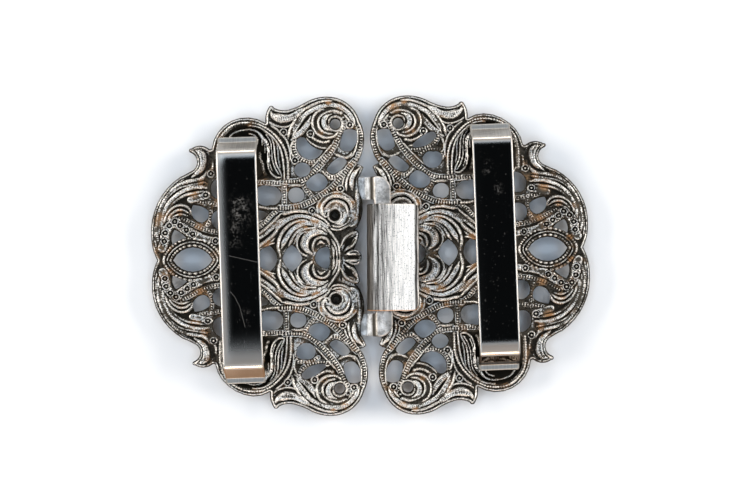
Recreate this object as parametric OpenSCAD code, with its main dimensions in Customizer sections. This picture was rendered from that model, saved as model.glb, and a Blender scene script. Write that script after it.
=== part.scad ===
// Two-part apron clasp in filigree work, fastened, seen from the back.
// Frame: +X along the row of the two halves, +Y across it, +Z towards the wearer.
// The origin is under the middle of the clasp, where its front domes rest.
// Both halves are the same casting, one turned by half a turn. Its work is drawn as a
// quadrant [p, q]: p runs outwards from the middle of the clasp, q away from its long
// axis. The casting's other quadrant is the mirror image, a little lower.

/* [Plates] */
// Thickness of the flat part of a plate
plate_t = 1.1; // [0.8:0.1:2]
// Height of the raised bands above the plate
band_h = 0.6; // [0.2:0.1:1]
// Height of the leaf ribs above the plate
rib_h = 0.4; // [0.2:0.1:1]
// How far the domes stand out of the plate's front
dome_drop = 1.9; // [1:0.1:4]
// Radius of a dome where it leaves the plate
dome_r = 6.0; // [4:0.1:6.4]
// Wall of a dome
dome_wall = 1.0; // [0.6:0.1:1.5]
// How much lower the low quadrant is next to the middle, as a share
low_inner = 0.018; // [0:0.002:0.05]
// How much lower the low quadrant is at its outer end, as a share
low_outer = 0.055; // [0:0.002:0.1]
// How far the left half has turned in the hook, in degrees
left_turn = -1.2; // [-3:0.1:3]
// How far the left half lies outwards of its place
left_x = -0.3; // [-1:0.1:1]
// How far the left half lies across its place
left_y = 0.15; // [-1:0.05:1]

/* [Strap bars] */
// Width of a strap bar along the clasp
bar_w = 7.5; // [5:0.5:10]
// Thickness of the strip that a strap bar is bent from
bar_t = 0.6; // [0.4:0.1:1]
// Half the length over the feet
bar_half = 23.8; // [20:0.1:26]
// Length of a foot
foot_len = 1.3; // [1:0.1:3]
// Length of a riser seen from above
riser_len = 1.6; // [1:0.1:3]
// Clear height between the raised bands and the bar
strap_gap = 4.4; // [3:0.1:6]
// Middle of the left bar, outwards from the middle of the clasp
left_bar_p = 24.9; // [20:0.1:28]
// How far the left bar was set across its place
left_bar_y = -0.2; // [-1:0.1:1]
// Middle of the right bar, outwards from the middle of the clasp
right_bar_p = 24.15; // [20:0.05:28]
// How far the right bar was set across its place
right_bar_y = 0.7; // [-1:0.1:1]

/* [Catch loop] */
// Thickness of the loop's strip
loop_t = 0.8; // [0.5:0.1:1.2]
// Half the width over both arms
loop_half = 15.4; // [12:0.1:17]
// Width of one arm
arm_w = 4.4; // [3:0.1:5]
// Width of the crossbar that the hook holds
cross_w = 3.2; // [2:0.1:4]
// Far edge of the crossbar
cross_x = 4.0; // [3:0.1:6]
// How far the loop was set across its place
loop_y = 0.1; // [-1:0.1:1]
// Radius of the loop's outer corners
loop_r = 2.6; // [1:0.1:4]

/* [Hook] */
// Thickness of the hook's sheet
hook_t = 0.7; // [0.5:0.1:1.2]
// Length of the free tongue, from the bend to its end
hook_len = 9.85; // [8:0.05:12]
// Width of the hook
hook_w = 20.5; // [16:0.1:24]
// Place of the bend's outermost line
hook_x = -0.8; // [-1:0.1:1]
// Middle of the hook across the clasp
hook_y = -0.4; // [-2:0.1:2]
// Radius of the tongue's corners
hook_r = 0.9; // [0.3:0.1:2]
// How far the hook was set askew, in degrees
hook_turn = -2.0; // [-4:0.1:4]

/* [Hidden] */

seat = 0.1;                      // gap between pieces that are seated on each other
cut = 0.2;                       // overrun of a cut, or overlap of a joined form
arc_steps = 5;                   // straight steps in each arc of an outline
rib_steps = 3;                   // straight steps between two points of a rib
plate_z = dome_drop;             // front face of the flat plate
top_z = plate_z + plate_t;       // back face of the flat plate
relief_z = top_z + band_h;       // highest point of the raised work
dome_ball = (dome_r * dome_r + dome_drop * dome_drop) / (2 * dome_drop);
dome_at = [23.7, 20.2];          // middle of a dome
land_p = [20.2, 29.2];           // land that a bar's foot sits on, outwards
land_q = [21.7, 24.9];           // and across
turn_p = 24.5;                   // the left half turns about its own middle
frame_shift = [0.2, 0.1, 0];     // puts the origin under the middle of the clasp's box
HIGH = 0;                        // the casting's high quadrant
LOW = 1;                         // and its low one
silver = "silver";
steel = "gainsboro";

// Outline of the quadrant from the long axis at its outer end round to the long axis
// at the middle. Columns: a point that the arc passes through, p and q, and its end, p and q.
OUTLINE_START = [41.1, 0];
OUTLINE = [
    [41.9, 2.2, 42.2, 4.6], [41.0, 10.9, 36.4, 16.1], [35.4, 16.55, 34.4, 17.1],
    [33.1, 18.6, 34.4, 20.8], [34.6, 21.3, 34.1, 21.6], [32.6, 22.1, 30.9, 21.6],
    [30.5, 21.4, 30.2, 21.5], [28.1, 25.6, 19.7, 26.3], [19.6, 28.0, 18.9, 29.5],
    [18.5, 29.6, 18.0, 29.2], [16.4, 28.7, 14.8, 28.9], [13.4, 29.4, 12.0, 30.1],
    [10.1, 30.9, 7.9, 31.2], [4.0, 30.0, 1.5, 26.5], [0.65, 23.3, 1.05, 20.5],
    [1.5, 19.2, 2.2, 18.1], [1.6, 17.9, 0.9, 17.4], [1.4, 16.2, 1.9, 15.3],
    [1.9, 13.4, 1.4, 11.6], [1.2, 8.8, 2.1, 6.1], [2.5, 5.6, 2.9, 5.3],
    [2.4, 5.2, 1.9, 4.7], [2.3, 3.0, 3.1, 1.4], [2.1, 1.2, 1.5, 0]
];

// Round eyes of the two scrolls. Columns: p, q, radius.
EYES = [[6.2, 25.85, 1.05], [6.6, 8.2, 1.0]];

// Gaps that only one of the two quadrants has. Columns: quadrant, name, first point, arcs.
OWN_GAPS = [
    [HIGH, "bean",   [8.7, 20.8],  [[10.7, 21.6, 12.0, 23.1], [13.2, 23.3, 13.8, 22.2],
                                    [13.3, 20.3, 11.5, 19.1], [9.8, 19.4, 8.7, 20.8]]],
    [HIGH, "pebble", [11.1, 17.1], [[12.8, 18.5, 14.4, 17.1], [12.8, 15.7, 11.1, 17.1]]],
    [LOW,  "bean",   [8.9, 21.6],  [[10.6, 23.0, 12.6, 23.9], [13.4, 23.5, 13.1, 22.4],
                                    [11.4, 21.2, 9.2, 20.9], [8.8, 21.2, 8.9, 21.6]]],
    [LOW,  "pebble", [10.7, 18.4], [[11.2, 19.6, 12.8, 19.9], [14.2, 19.5, 14.4, 18.2],
                                    [12.7, 16.7, 10.7, 18.4]]]
];

// Gaps that both quadrants have. Columns: name, first point, arcs as in OUTLINE.
GAPS = [
    ["rim",     [2.1, 24.4],  [[3.3, 24.8, 4.4, 24.6], [5.0, 23.3, 5.4, 21.4],
                               [4.5, 20.6, 3.3, 20.6], [2.2, 22.2, 2.1, 24.4]]],
    ["wedge",   [4.1, 18.5],  [[4.8, 19.3, 5.8, 19.3], [7.0, 18.4, 8.0, 17.2],
                               [7.4, 16.4, 6.4, 16.3], [5.0, 17.2, 4.1, 18.5]]],
    ["drop",    [7.8, 14.5],  [[8.5, 15.8, 9.5, 16.4], [11.0, 15.7, 12.1, 14.5],
                               [11.4, 13.3, 10.1, 12.9], [8.6, 13.4, 7.8, 14.5]]],
    ["nut",     [12.4, 12.3], [[13.1, 13.4, 14.6, 13.6], [15.4, 12.9, 15.5, 11.9],
                               [14.9, 10.9, 13.7, 10.9], [12.7, 11.3, 12.4, 12.3]]],
    ["bay",     [16.9, 12.1], [[17.6, 13.6, 19.2, 14.0], [21.6, 13.6, 22.2, 12.2],
                               [21.2, 10.7, 19.0, 10.4], [17.5, 10.8, 16.9, 12.1]]],
    ["fin",     [19.5, 8.7],  [[20.9, 9.3, 22.6, 9.2], [23.0, 8.2, 22.6, 7.2],
                               [21.2, 7.4, 19.5, 8.7]]],
    ["high",    [27.0, 13.8], [[27.4, 15.5, 28.6, 16.0], [30.1, 15.0, 30.5, 13.2],
                               [29.9, 12.1, 28.8, 11.8], [27.5, 12.2, 27.0, 13.8]]],
    ["square",  [31.0, 9.4],  [[32.2, 10.2, 34.0, 10.6], [34.3, 9.2, 33.9, 8.1],
                               [33.0, 7.4, 32.2, 7.2], [31.2, 8.0, 31.0, 9.4]]],
    ["low",     [27.2, 7.6],  [[27.7, 9.2, 29.0, 9.6], [30.3, 8.6, 30.4, 7.2],
                               [29.8, 6.2, 28.6, 5.9], [27.6, 6.3, 27.2, 7.6]]],
    ["corner",  [35.4, 4.3],  [[36.5, 5.3, 37.6, 5.9], [38.2, 4.6, 38.1, 3.1],
                               [36.8, 3.8, 35.4, 4.3]]]
];

// Gaps on the long axis, upper half of each. Columns as in GAPS.
AXIS_GAPS = [
    ["marquise", [38.0, 0],  [[34.2, 2.4, 30.4, 0]]],
    ["diamond",  [16.85, 0], [[16.1, 1.6, 15.0, 2.6], [13.8, 1.5, 13.0, 0]]],
    ["shield",   [10.6, 0],  [[9.8, 1.5, 8.1, 2.1], [7.7, 1.2, 7.8, 0]]],
    ["almond",   [22.6, 0],  [[21.0, 1.7, 19.3, 2.5], [18.3, 1.4, 17.9, 0]]]
];

// Beaded bands. Columns: name, width, points on the middle line.
BANDS = [
    ["lattice_low",  1.2, [[2.6, 18.4], [4.3, 16.4], [6.2, 14.3], [8.2, 12.5], [10.5, 11.2],
                           [14, 10.2], [18, 9.9], [21.5, 10.4]]],
    ["lattice_high", 1.2, [[5.9, 22.8], [7.2, 20.5], [8.8, 18.4], [10.5, 16.7], [12.6, 15.2],
                           [15, 14.7], [17, 15.2]]],
    ["arch",         1.1, [[15.7, 15.5], [15.6, 18], [16.1, 20.5], [17.1, 22.8], [18.8, 24.8],
                           [21.0, 26.1], [23.8, 26.5], [26.6, 25.6], [28.6, 23.6], [29.4, 20.8],
                           [29.6, 17.4]]],
    ["dome_sill",    0.9, [[17.2, 15.3], [19.4, 15.6], [21.6, 15.6]]],
    ["rung_rim",     0.7, [[2.8, 19.8], [4.4, 20.0], [6.4, 20.4]]],
    ["rung_wedge",   0.8, [[4.8, 15.7], [7.0, 15.6], [8.8, 16.9]]],
    ["rung_drop",    0.8, [[10.8, 11.9], [12.2, 13.4], [13.2, 14.9]]],
    ["rung_nut",     0.8, [[16.2, 14.6], [16.3, 12.6], [16.3, 10.3]]],
    ["outer_low",    0.9, [[27.5, 5.0], [30.5, 5.6], [33.6, 7.0], [36.3, 8.8]]],
    ["outer_high",   0.9, [[28.5, 10.7], [31.2, 11.3], [34.2, 12.0]]],
    ["outer_rung",   0.8, [[30.9, 12.0], [30.6, 9.2], [31.0, 6.4]]]
];

// Bands that only one of the two quadrants has. Columns: quadrant, width, points.
OWN_BANDS = [
    [HIGH, 1.0, [[7.3, 20.6], [9.0, 19.0], [11.5, 18.6], [13.7, 19.6], [14.6, 21.6]]],
    [LOW,  1.0, [[7.6, 20.4], [9.4, 20.4], [11.6, 20.7], [13.4, 21.5], [14.2, 23.0]]]
];

// Smooth ribs of leaves, scrolls and rims. Columns: name, width, points on the middle line.
RIBS = [
    ["lobe_rim",    0.9, [[14.8, 28.2], [12.0, 29.3], [8.0, 30.6], [4.4, 29.4], [2.1, 26.4],
                          [1.2, 23.2], [1.6, 20.4], [2.6, 18.9]]],
    ["tip_crescent", 1.3, [[18.5, 28.9], [18.6, 27.4], [17.0, 26.7], [14.8, 27.6], [12.5, 28.7],
                          [9.0, 29.6]]],
    ["volute_out",  0.8, [[11.5, 28.3], [7.5, 29.3], [4.2, 27.7], [2.6, 25.2]]],
    ["volute_mid",  0.8, [[10.2, 24.7], [10.4, 26.6], [8.6, 28.3], [5.8, 28.4], [3.8, 26.6],
                          [3.4, 25.2]]],
    ["volute_in",   0.9, [[5.4, 24.3], [7.5, 23.9], [8.8, 25.0], [8.7, 26.6], [7.4, 27.5]]],
    ["leaf_long",   0.8, [[9.4, 28.4], [12.3, 26.9], [14.2, 24.7], [15.2, 22.7]]],
    ["leaf_short",  0.8, [[10.9, 26.0], [12.6, 24.6], [14.4, 23.0]]],
    ["petal_1",     0.6, [[17.0, 16.2], [16.9, 18.6], [17.5, 21.2], [18.9, 23.4], [20.8, 24.9]]],
    ["petal_2",     0.6, [[17.2, 16.0], [18.2, 17.8], [18.2, 20.4], [19.0, 22.8]]],
    ["petal_3",     0.6, [[17.6, 16.0], [19.2, 16.9], [19.6, 18.8], [19.6, 21.4]]],
    ["scroll_edge", 0.8, [[2.5, 17.2], [3.6, 15.8], [3.7, 13.6], [2.3, 11.4], [2.0, 8.8],
                          [3.1, 6.3], [5.6, 5.1], [8.0, 5.5]]],
    ["scroll_out",  0.8, [[3.1, 11.2], [3.6, 7.9], [5.8, 6.1], [8.4, 6.6], [9.7, 8.7],
                          [9.2, 11.2], [7.0, 12.3], [4.9, 11.6]]],
    ["scroll_in",   0.8, [[5.0, 9.6], [4.8, 8.0], [5.9, 6.9]]],
    ["bud",         1.1, [[2.4, 0.5], [4.6, 0.5]]],
    ["small_leaf",  0.7, [[2.5, 4.4], [3.9, 3.4], [5.4, 1.6]]],
    ["stem",        0.8, [[6.3, 0.4], [6.3, 2.6], [6.9, 4.5]]],
    ["fan_1",       0.8, [[7.2, 3.6], [8.5, 6.0], [11.0, 8.0], [14.0, 8.9], [17.0, 8.5],
                          [19.4, 6.9], [21.5, 4.9]]],
    ["fan_2",       0.8, [[8.4, 4.6], [11.0, 6.6], [14.0, 7.2], [16.4, 6.2], [18.2, 4.0],
                          [19.4, 3.2]]],
    ["fan_3",       0.8, [[13.9, 5.4], [15.3, 4.6], [16.4, 3.0], [17.1, 1.7]]],
    ["crescent",    1.2, [[9.9, 4.5], [11.8, 4.4], [13.0, 3.0], [12.6, 1.3], [11.5, 0.6]]],
    ["outer_leaf_1", 1.0, [[31.0, 15.4], [34.4, 14.6], [37.6, 12.8], [40.0, 9.6], [41.3, 5.6],
                          [41.0, 2.4]]],
    ["outer_leaf_2", 0.9, [[31.6, 13.4], [34.6, 12.8], [37.4, 11.4], [39.4, 9.0], [40.4, 6.2]]],
    ["outer_leaf_3", 0.9, [[34.9, 9.4], [36.0, 10.8], [37.9, 10.2], [39.2, 8.4]]],
    ["curl",        1.1, [[33.9, 21.0], [32.0, 20.6], [31.3, 18.6], [32.2, 16.8], [34.6, 15.6]]]
];

// Round dots. Columns: p, q.
DOTS = [[37.7, 7.8], [36.7, 6.7], [35.4, 6.1], [38.9, 6.8], [39.6, 5.2], [39.8, 3.7],
        [11.3, 9.3], [16.1, 24.6], [29.6, 3.8]];
dot_r = 0.5;

// Share by which the low quadrant is lower, at a place outwards.
function drop(p) =
    let (t = max(0, min(1, (p - 19) / 11))) low_inner + (low_outer - low_inner) * t * t * (3 - 2 * t);

// A point of the drawing in one of the two quadrants, the high one above the axis.
function lay(quadrant, pt) =
    quadrant == HIGH ? pt : [pt.x, -pt.y * (1 - drop(pt.x))];

// Middle of the circle through three points.
function circle_mid(a, m, b) =
    let (d = 2 * (a.x * (m.y - b.y) + m.x * (b.y - a.y) + b.x * (a.y - m.y)),
         sa = a * a, sm = m * m, sb = b * b)
    [(sa * (m.y - b.y) + sm * (b.y - a.y) + sb * (a.y - m.y)) / d,
     (sa * (b.x - m.x) + sm * (a.x - b.x) + sb * (m.x - a.x)) / d];

// Angle from one turn to the next, counted anticlockwise from 0 to 360.
function ahead(from, to) = let (t = to - from) t - 360 * floor(t / 360);

// Steps of the arc from a through m to b, without a itself.
function arc_points(a, m, b) =
    let (c = circle_mid(a, m, b), r = norm(a - c),
         t0 = atan2(a.y - c.y, a.x - c.x), tm = atan2(m.y - c.y, m.x - c.x),
         t1 = atan2(b.y - c.y, b.x - c.x),
         sweep = ahead(t0, tm) < ahead(t0, t1) ? ahead(t0, t1) : ahead(t0, t1) - 360)
    [for (i = [1 : arc_steps]) let (t = t0 + sweep * i / arc_steps) c + r * [cos(t), sin(t)]];

// Points of an outline that starts at a point and follows rows of arcs.
function chain(start, rows) =
    [start, for (i = [0 : len(rows) - 1])
        let (a = i == 0 ? start : [rows[i - 1][2], rows[i - 1][3]])
        each arc_points(a, [rows[i][0], rows[i][1]], [rows[i][2], rows[i][3]])];

// Points of a smooth line through the given points.
function smooth(pts) =
    let (n = len(pts))
    [for (i = [0 : n - 2])
        let (p0 = pts[max(i - 1, 0)], p1 = pts[i], p2 = pts[i + 1], p3 = pts[min(i + 2, n - 1)])
        for (k = [0 : rib_steps - (i == n - 2 ? 0 : 1)])
            let (t = k / rib_steps)
            (2 * p1 + t * (p2 - p0) + t * t * (2 * p0 - 5 * p1 + 4 * p2 - p3)
             + t * t * t * (3 * p1 - p0 - 3 * p2 + p3)) / 2];

// Unit normal of a line of points at its place i.
function side(line, i) =
    let (d = line[min(i + 1, len(line) - 1)] - line[max(i - 1, 0)]) [-d.y, d.x] / norm(d);

// A closed form of the drawing, in one quadrant.
module form(quadrant, start, rows) polygon([for (pt = chain(start, rows)) lay(quadrant, pt)]);

// A strip of even width along a smooth line, in one quadrant.
module strip(quadrant, w, pts) {
    line = smooth([for (pt = pts) lay(quadrant, pt)]);
    n = len(line);
    polygon([for (i = [0 : n - 1]) line[i] + side(line, i) * w / 2,
             for (i = [n - 1 : -1 : 0]) line[i] - side(line, i) * w / 2]);
}

module outline() for (k = [HIGH, LOW]) form(k, OUTLINE_START, OUTLINE);

module gaps() {
    for (k = [HIGH, LOW]) {
        for (e = EYES) translate(lay(k, [e[0], e[1]])) circle(r = e[2], $fn = 20);
        for (g = GAPS) form(k, g[1], g[2]);
        for (g = AXIS_GAPS) form(k, g[1], g[2]);
    }
    for (g = OWN_GAPS) form(g[0], g[2], g[3]);
}

// Radius of a dome's hollow at the back of the plate.
function hollow_r() =
    let (r = dome_ball - dome_wall, h = dome_ball - top_z) sqrt(r * r - h * h);

// Raised work, kept clear of the rim, of the gaps and of the domes' hollows.
module raised() {
    rim_step = 0.25;
    gap_step = 0.2;
    difference() {
        intersection() {
            children();
            offset(delta = -rim_step) outline();
        }
        offset(delta = gap_step) gaps();
        for (k = [HIGH, LOW]) {
            translate(lay(k, dome_at)) circle(r = hollow_r() + gap_step, $fn = 48);
            translate([land_p[0], k == HIGH ? land_q[0] : -land_q[1]])
                square([land_p[1] - land_p[0], land_q[1] - land_q[0]]);
        }
    }
}

module bands() {
    for (k = [HIGH, LOW]) {
        for (b = BANDS) strip(k, b[1], b[2]);
        for (d = DOTS) translate(lay(k, d)) circle(r = dot_r, $fn = 10);
    }
    for (b = OWN_BANDS) strip(b[0], b[1], b[2]);
    marquise_rims();
}

module ribs() for (k = [HIGH, LOW]) for (r = RIBS) strip(k, r[1], r[2]);

// Beaded double rim round the marquise gap.
module marquise_rims() {
    rim_w = 0.5;
    for (o = [0.4, 1.3])
        difference() {
            offset(r = o + rim_w) marquise();
            offset(r = o) marquise();
        }
}

module marquise() for (k = [HIGH, LOW]) form(k, AXIS_GAPS[0][1], AXIS_GAPS[0][2]);

// One casting, outwards along +X, with its high quadrant above the axis.
module casting() {
    difference() {
        union() {
            translate([0, 0, plate_z]) linear_extrude(plate_t) offset(delta = 0) difference() {
                outline();
                gaps();
            }
            translate([0, 0, top_z - cut]) linear_extrude(cut + band_h) offset(delta = 0)
                raised() bands();
            translate([0, 0, top_z - cut]) linear_extrude(cut + rib_h) offset(delta = 0)
                raised() ribs();
            for (k = [HIGH, LOW]) translate(lay(k, dome_at)) dome();
        }
        for (k = [HIGH, LOW]) translate(lay(k, dome_at)) hollow(k);
    }
}

// Outside of a dome, up to the middle of the plate.
module dome() {
    intersection() {
        translate([0, 0, dome_ball]) sphere(r = dome_ball, $fn = 96);
        cylinder(r = dome_r + cut, h = plate_z + plate_t / 2, $fn = 96);
    }
}

// Hollow of a dome, with the land for the bar's foot left standing in it.
module hollow(quadrant) {
    across = quadrant == HIGH ? 1 : -1;
    mid_q = (land_q[0] + land_q[1]) / 2 - abs(lay(quadrant, dome_at).y);
    difference() {
        intersection() {
            translate([0, 0, dome_ball]) sphere(r = dome_ball - dome_wall, $fn = 96);
            cylinder(r = dome_r, h = top_z + cut, $fn = 96);
        }
        translate([(land_p[0] + land_p[1]) / 2 - dome_at.x, across * mid_q, top_z / 2])
            cube([land_p[1] - land_p[0], land_q[1] - land_q[0], top_z], center = true);
    }
}

module in_frame() translate(frame_shift) children();

// The left half as it hangs in the hook.
module hang_left() translate([left_x - turn_p, left_y, 0]) rotate([0, 0, left_turn])
    translate([turn_p, 0, 0]) children();

module left_plate() color(silver) hang_left() rotate([0, 0, 180]) mirror([0, 1, 0]) casting();

module right_plate() color(silver) mirror([0, 1, 0]) casting();

// A bar for the apron's band: feet on the domes' lands, two risers and a flat bridge.
module strap_bar(p) {
    foot_z = top_z + seat;
    bridge_z = relief_z + strap_gap;
    knee = bar_half - foot_len;
    shoulder = knee - riser_len;
    lean = bar_t * 0.35;             // the bent strip keeps its thickness in the riser
    half = [[0, bridge_z + bar_t], [shoulder - 0.3, bridge_z + bar_t],
            [shoulder + lean, bridge_z + bar_t - 0.25], [knee + lean, foot_z + bar_t],
            [bar_half, foot_z + bar_t], [bar_half, foot_z], [knee - lean, foot_z],
            [shoulder - lean, bridge_z - 0.15], [shoulder - 0.6, bridge_z], [0, bridge_z]];
    for (s = [0, 1]) mirror([0, s, 0])
        translate([p - bar_w / 2, 0, 0]) rotate([90, 0, 90]) linear_extrude(bar_w) polygon(half);
}

module left_strap_bar() color(steel) hang_left() translate([0, left_bar_y, 0])
    mirror([1, 0, 0]) strap_bar(left_bar_p);

module right_strap_bar() color(steel) translate([0, right_bar_y, 0]) strap_bar(right_bar_p);

// Loop that stands on the left half: two arms and the crossbar that the hook holds.
module catch_loop() {
    tab_z = plate_z - seat - loop_t;     // the arms' ends lie against the plate's front
    cross_z = relief_z + 2 * seat + hook_t + 0.3;
    near_x = cross_x - cross_w;
    bridge_x = near_x + 0.5;
    edge_x = -1.45;                      // the arms turn up just clear of the plate's edge
    crease_x = 0.55;
    lean = 0.9;                          // width of the slanted stretch, level
    arm = [[edge_x - 4, tab_z], [edge_x + lean - 0.4, tab_z], [edge_x + lean + 0.1, tab_z + 0.3],
           [crease_x + lean - 0.1, cross_z - 0.2], [crease_x + lean + 0.2, cross_z],
           [bridge_x + 0.4, cross_z], [bridge_x + 0.4, cross_z + loop_t],
           [crease_x + 0.1, cross_z + loop_t], [crease_x - 0.15, cross_z + loop_t - 0.2],
           [edge_x, tab_z + loop_t], [edge_x - 4, tab_z + loop_t]];
    color(steel) hang_left() translate([-left_x, loop_y, 0]) {
        for (s = [-1, 1])
            translate([0, s > 0 ? loop_half : arm_w - loop_half, 0]) rotate([90, 0, 0])
                linear_extrude(arm_w) polygon(arm);
        translate([0, 0, cross_z]) linear_extrude(loop_t) intersection() {
            translate([near_x, -loop_half]) square([cross_w, 2 * loop_half]);
            translate([cross_x - 3 * loop_r, -loop_half]) offset(r = loop_r)
                offset(delta = -loop_r) square([3 * loop_r, 2 * loop_half]);
        }
    }
}

// Hook: a leaf on the right plate's back, turned over the crossbar into a free tongue.
module hook() {
    leaf_z = relief_z + seat / 2;
    bend = 1.6;
    tongue_z = leaf_z + 2 * bend - hook_t;
    leaf_len = 7.6;
    profile = [
        [leaf_len, leaf_z], [bend, leaf_z],
        for (t = [260 : -10 : 100]) [bend, leaf_z + bend] + bend * [cos(t), sin(t)],
        [bend, tongue_z + hook_t], [hook_len, tongue_z + hook_t], [hook_len, tongue_z],
        [bend, tongue_z],
        for (t = [100 : 10 : 260]) [bend, leaf_z + bend] + (bend - hook_t) * [cos(t), sin(t)],
        [bend, leaf_z + hook_t], [leaf_len, leaf_z + hook_t]
    ];
    color(steel) translate([hook_x, hook_y, 0]) rotate([0, 0, hook_turn]) intersection() {
        translate([0, hook_w / 2, 0]) rotate([90, 0, 0]) linear_extrude(hook_w) polygon(profile);
        translate([0, 0, leaf_z - 1]) linear_extrude(2 * bend + 2) offset(r = hook_r)
            offset(delta = -hook_r) translate([-2, -hook_w / 2]) square([hook_len + 2, hook_w]);
    }
}

in_frame() left_plate();
in_frame() right_plate();
in_frame() left_strap_bar();
in_frame() right_strap_bar();
in_frame() catch_loop();
in_frame() hook();
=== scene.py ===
"""Dress the fastened two-part clasp: patinated filigree castings, bent strips and a sheet hook.

The drawing is in millimetres. A casting is drawn as one quadrant in coordinates (p, q): p runs
outwards from the middle of the clasp and q away from its long axis. Every metal piece is a
sheet cut from a grid by a drawn outline, given a back and a front height, and closed round
its edge.
"""

import logging
import math
from collections.abc import Callable
from dataclasses import dataclass, field
from enum import Enum
from typing import ClassVar

import bpy
import numpy as np
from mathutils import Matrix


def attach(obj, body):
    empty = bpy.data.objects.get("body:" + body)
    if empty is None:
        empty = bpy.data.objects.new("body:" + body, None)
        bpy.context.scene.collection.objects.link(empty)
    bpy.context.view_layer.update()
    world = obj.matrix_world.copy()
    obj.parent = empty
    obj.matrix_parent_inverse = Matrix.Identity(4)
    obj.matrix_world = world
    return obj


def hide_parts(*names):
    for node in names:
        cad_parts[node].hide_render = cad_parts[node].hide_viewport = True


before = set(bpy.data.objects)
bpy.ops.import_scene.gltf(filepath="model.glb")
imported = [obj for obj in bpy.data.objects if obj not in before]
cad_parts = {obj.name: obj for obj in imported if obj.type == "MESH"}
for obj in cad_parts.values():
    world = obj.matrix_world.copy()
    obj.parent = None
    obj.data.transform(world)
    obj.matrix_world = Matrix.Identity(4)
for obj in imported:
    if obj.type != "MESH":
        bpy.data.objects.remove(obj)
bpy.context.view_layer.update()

MM = 0.001
LOG = logging.getLogger("clasp")
Array = np.ndarray
Point = tuple[float, float]
Row = tuple[float, float, float, float]
Colour = tuple[float, float, float, float]
Node = bpy.types.Node
Socket = bpy.types.NodeSocket
Number = Socket | float


class Quadrant(Enum):
    """The two quadrants of a casting, which are not quite alike."""

    HIGH = "high"
    LOW = "low"


class Half(Enum):
    """The two halves of the clasp, named as the photograph shows them."""

    LEFT = "left"
    RIGHT = "right"


class Cut(Enum):
    """What a line of the raised work looks like across."""

    RIB = "half-round rib"
    LEAF = "wide rib with a vein"
    BEAD = "row of beads between two rails"
    MILL = "row of short bars between two rails"
    ROW = "row of beads alone"
    FLAT = "flat land with soft sides"
    FIN = "thin upright ridge"
    DIP = "sunk hollow"


# Outline of a quadrant from the long axis at its outer end round to the long axis at the
# middle. Columns: a point that the arc passes through, p and q, and its end, p and q.
OUTLINE_START = (41.1, 0.0)
OUTLINE: tuple[Row, ...] = (
    (41.9, 2.2, 42.2, 4.6), (41.0, 10.9, 36.4, 16.1), (35.4, 16.55, 34.4, 17.1),
    (33.1, 18.6, 34.4, 20.8), (34.6, 21.3, 34.1, 21.6), (32.6, 22.1, 30.9, 21.6),
    (30.5, 21.4, 30.2, 21.5), (28.1, 25.6, 19.7, 26.3), (19.6, 28.0, 18.9, 29.5),
    (18.5, 29.6, 18.0, 29.2), (16.4, 28.7, 14.8, 28.9), (13.4, 29.4, 12.0, 30.1),
    (10.1, 30.9, 7.9, 31.2), (4.0, 30.0, 1.5, 26.5), (0.65, 23.3, 1.05, 20.5),
    (1.5, 19.2, 2.2, 18.1), (1.6, 17.9, 0.9, 17.4), (1.4, 16.2, 1.9, 15.3),
    (1.9, 13.4, 1.4, 11.6), (1.2, 8.8, 2.1, 6.1), (2.5, 5.6, 2.9, 5.3),
    (2.4, 5.2, 1.9, 4.7), (2.3, 3.0, 3.1, 1.4), (2.1, 1.2, 1.5, 0.0),
)

# Round eyes of the two scrolls. Columns: p, q, radius, radius of the hole in its floor.
EYES = ((6.2, 25.85, 1.05, 0.98), (6.6, 8.2, 1.02, 0.5))

# Gaps of the pierced work: first point, then arcs as in OUTLINE.
GAPS: dict[str, tuple[Point, tuple[Row, ...]]] = {
    "rim": ((2.1, 24.4), ((3.3, 24.8, 4.4, 24.6), (5.0, 23.3, 5.4, 21.4),
                          (4.5, 20.6, 3.3, 20.6), (2.2, 22.2, 2.1, 24.4))),
    "wedge": ((4.1, 18.5), ((4.8, 19.3, 5.8, 19.3), (7.0, 18.4, 8.0, 17.2),
                            (7.4, 16.4, 6.4, 16.3), (5.0, 17.2, 4.1, 18.5))),
    "drop": ((7.8, 14.5), ((8.5, 15.8, 9.5, 16.4), (11.0, 15.7, 12.1, 14.5),
                           (11.4, 13.3, 10.1, 12.9), (8.6, 13.4, 7.8, 14.5))),
    "nut": ((12.4, 12.3), ((13.1, 13.4, 14.6, 13.6), (15.4, 12.9, 15.5, 11.9),
                           (14.9, 10.9, 13.7, 10.9), (12.7, 11.3, 12.4, 12.3))),
    "bay": ((16.9, 12.1), ((17.6, 13.6, 19.2, 14.0), (21.6, 13.6, 22.2, 12.2),
                           (21.2, 10.7, 19.0, 10.4), (17.5, 10.8, 16.9, 12.1))),
    "fin": ((19.5, 8.7), ((20.9, 9.3, 22.6, 9.2), (23.0, 8.2, 22.6, 7.2),
                          (21.2, 7.4, 19.5, 8.7))),
    "high": ((27.0, 13.8), ((27.4, 15.5, 28.6, 16.0), (30.1, 15.0, 30.5, 13.2),
                            (29.9, 12.1, 28.8, 11.8), (27.5, 12.2, 27.0, 13.8))),
    "square": ((31.0, 9.4), ((32.2, 10.2, 34.0, 10.6), (34.3, 9.2, 33.9, 8.1),
                             (33.0, 7.4, 32.2, 7.2), (31.2, 8.0, 31.0, 9.4))),
    "low": ((27.2, 7.6), ((27.7, 9.2, 29.0, 9.6), (30.3, 8.6, 30.4, 7.2),
                          (29.8, 6.2, 28.6, 5.9), (27.6, 6.3, 27.2, 7.6))),
    "corner": ((35.4, 4.3), ((36.5, 5.3, 37.6, 5.9), (38.2, 4.6, 38.1, 3.1),
                             (36.8, 3.8, 35.4, 4.3))),
}

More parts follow.
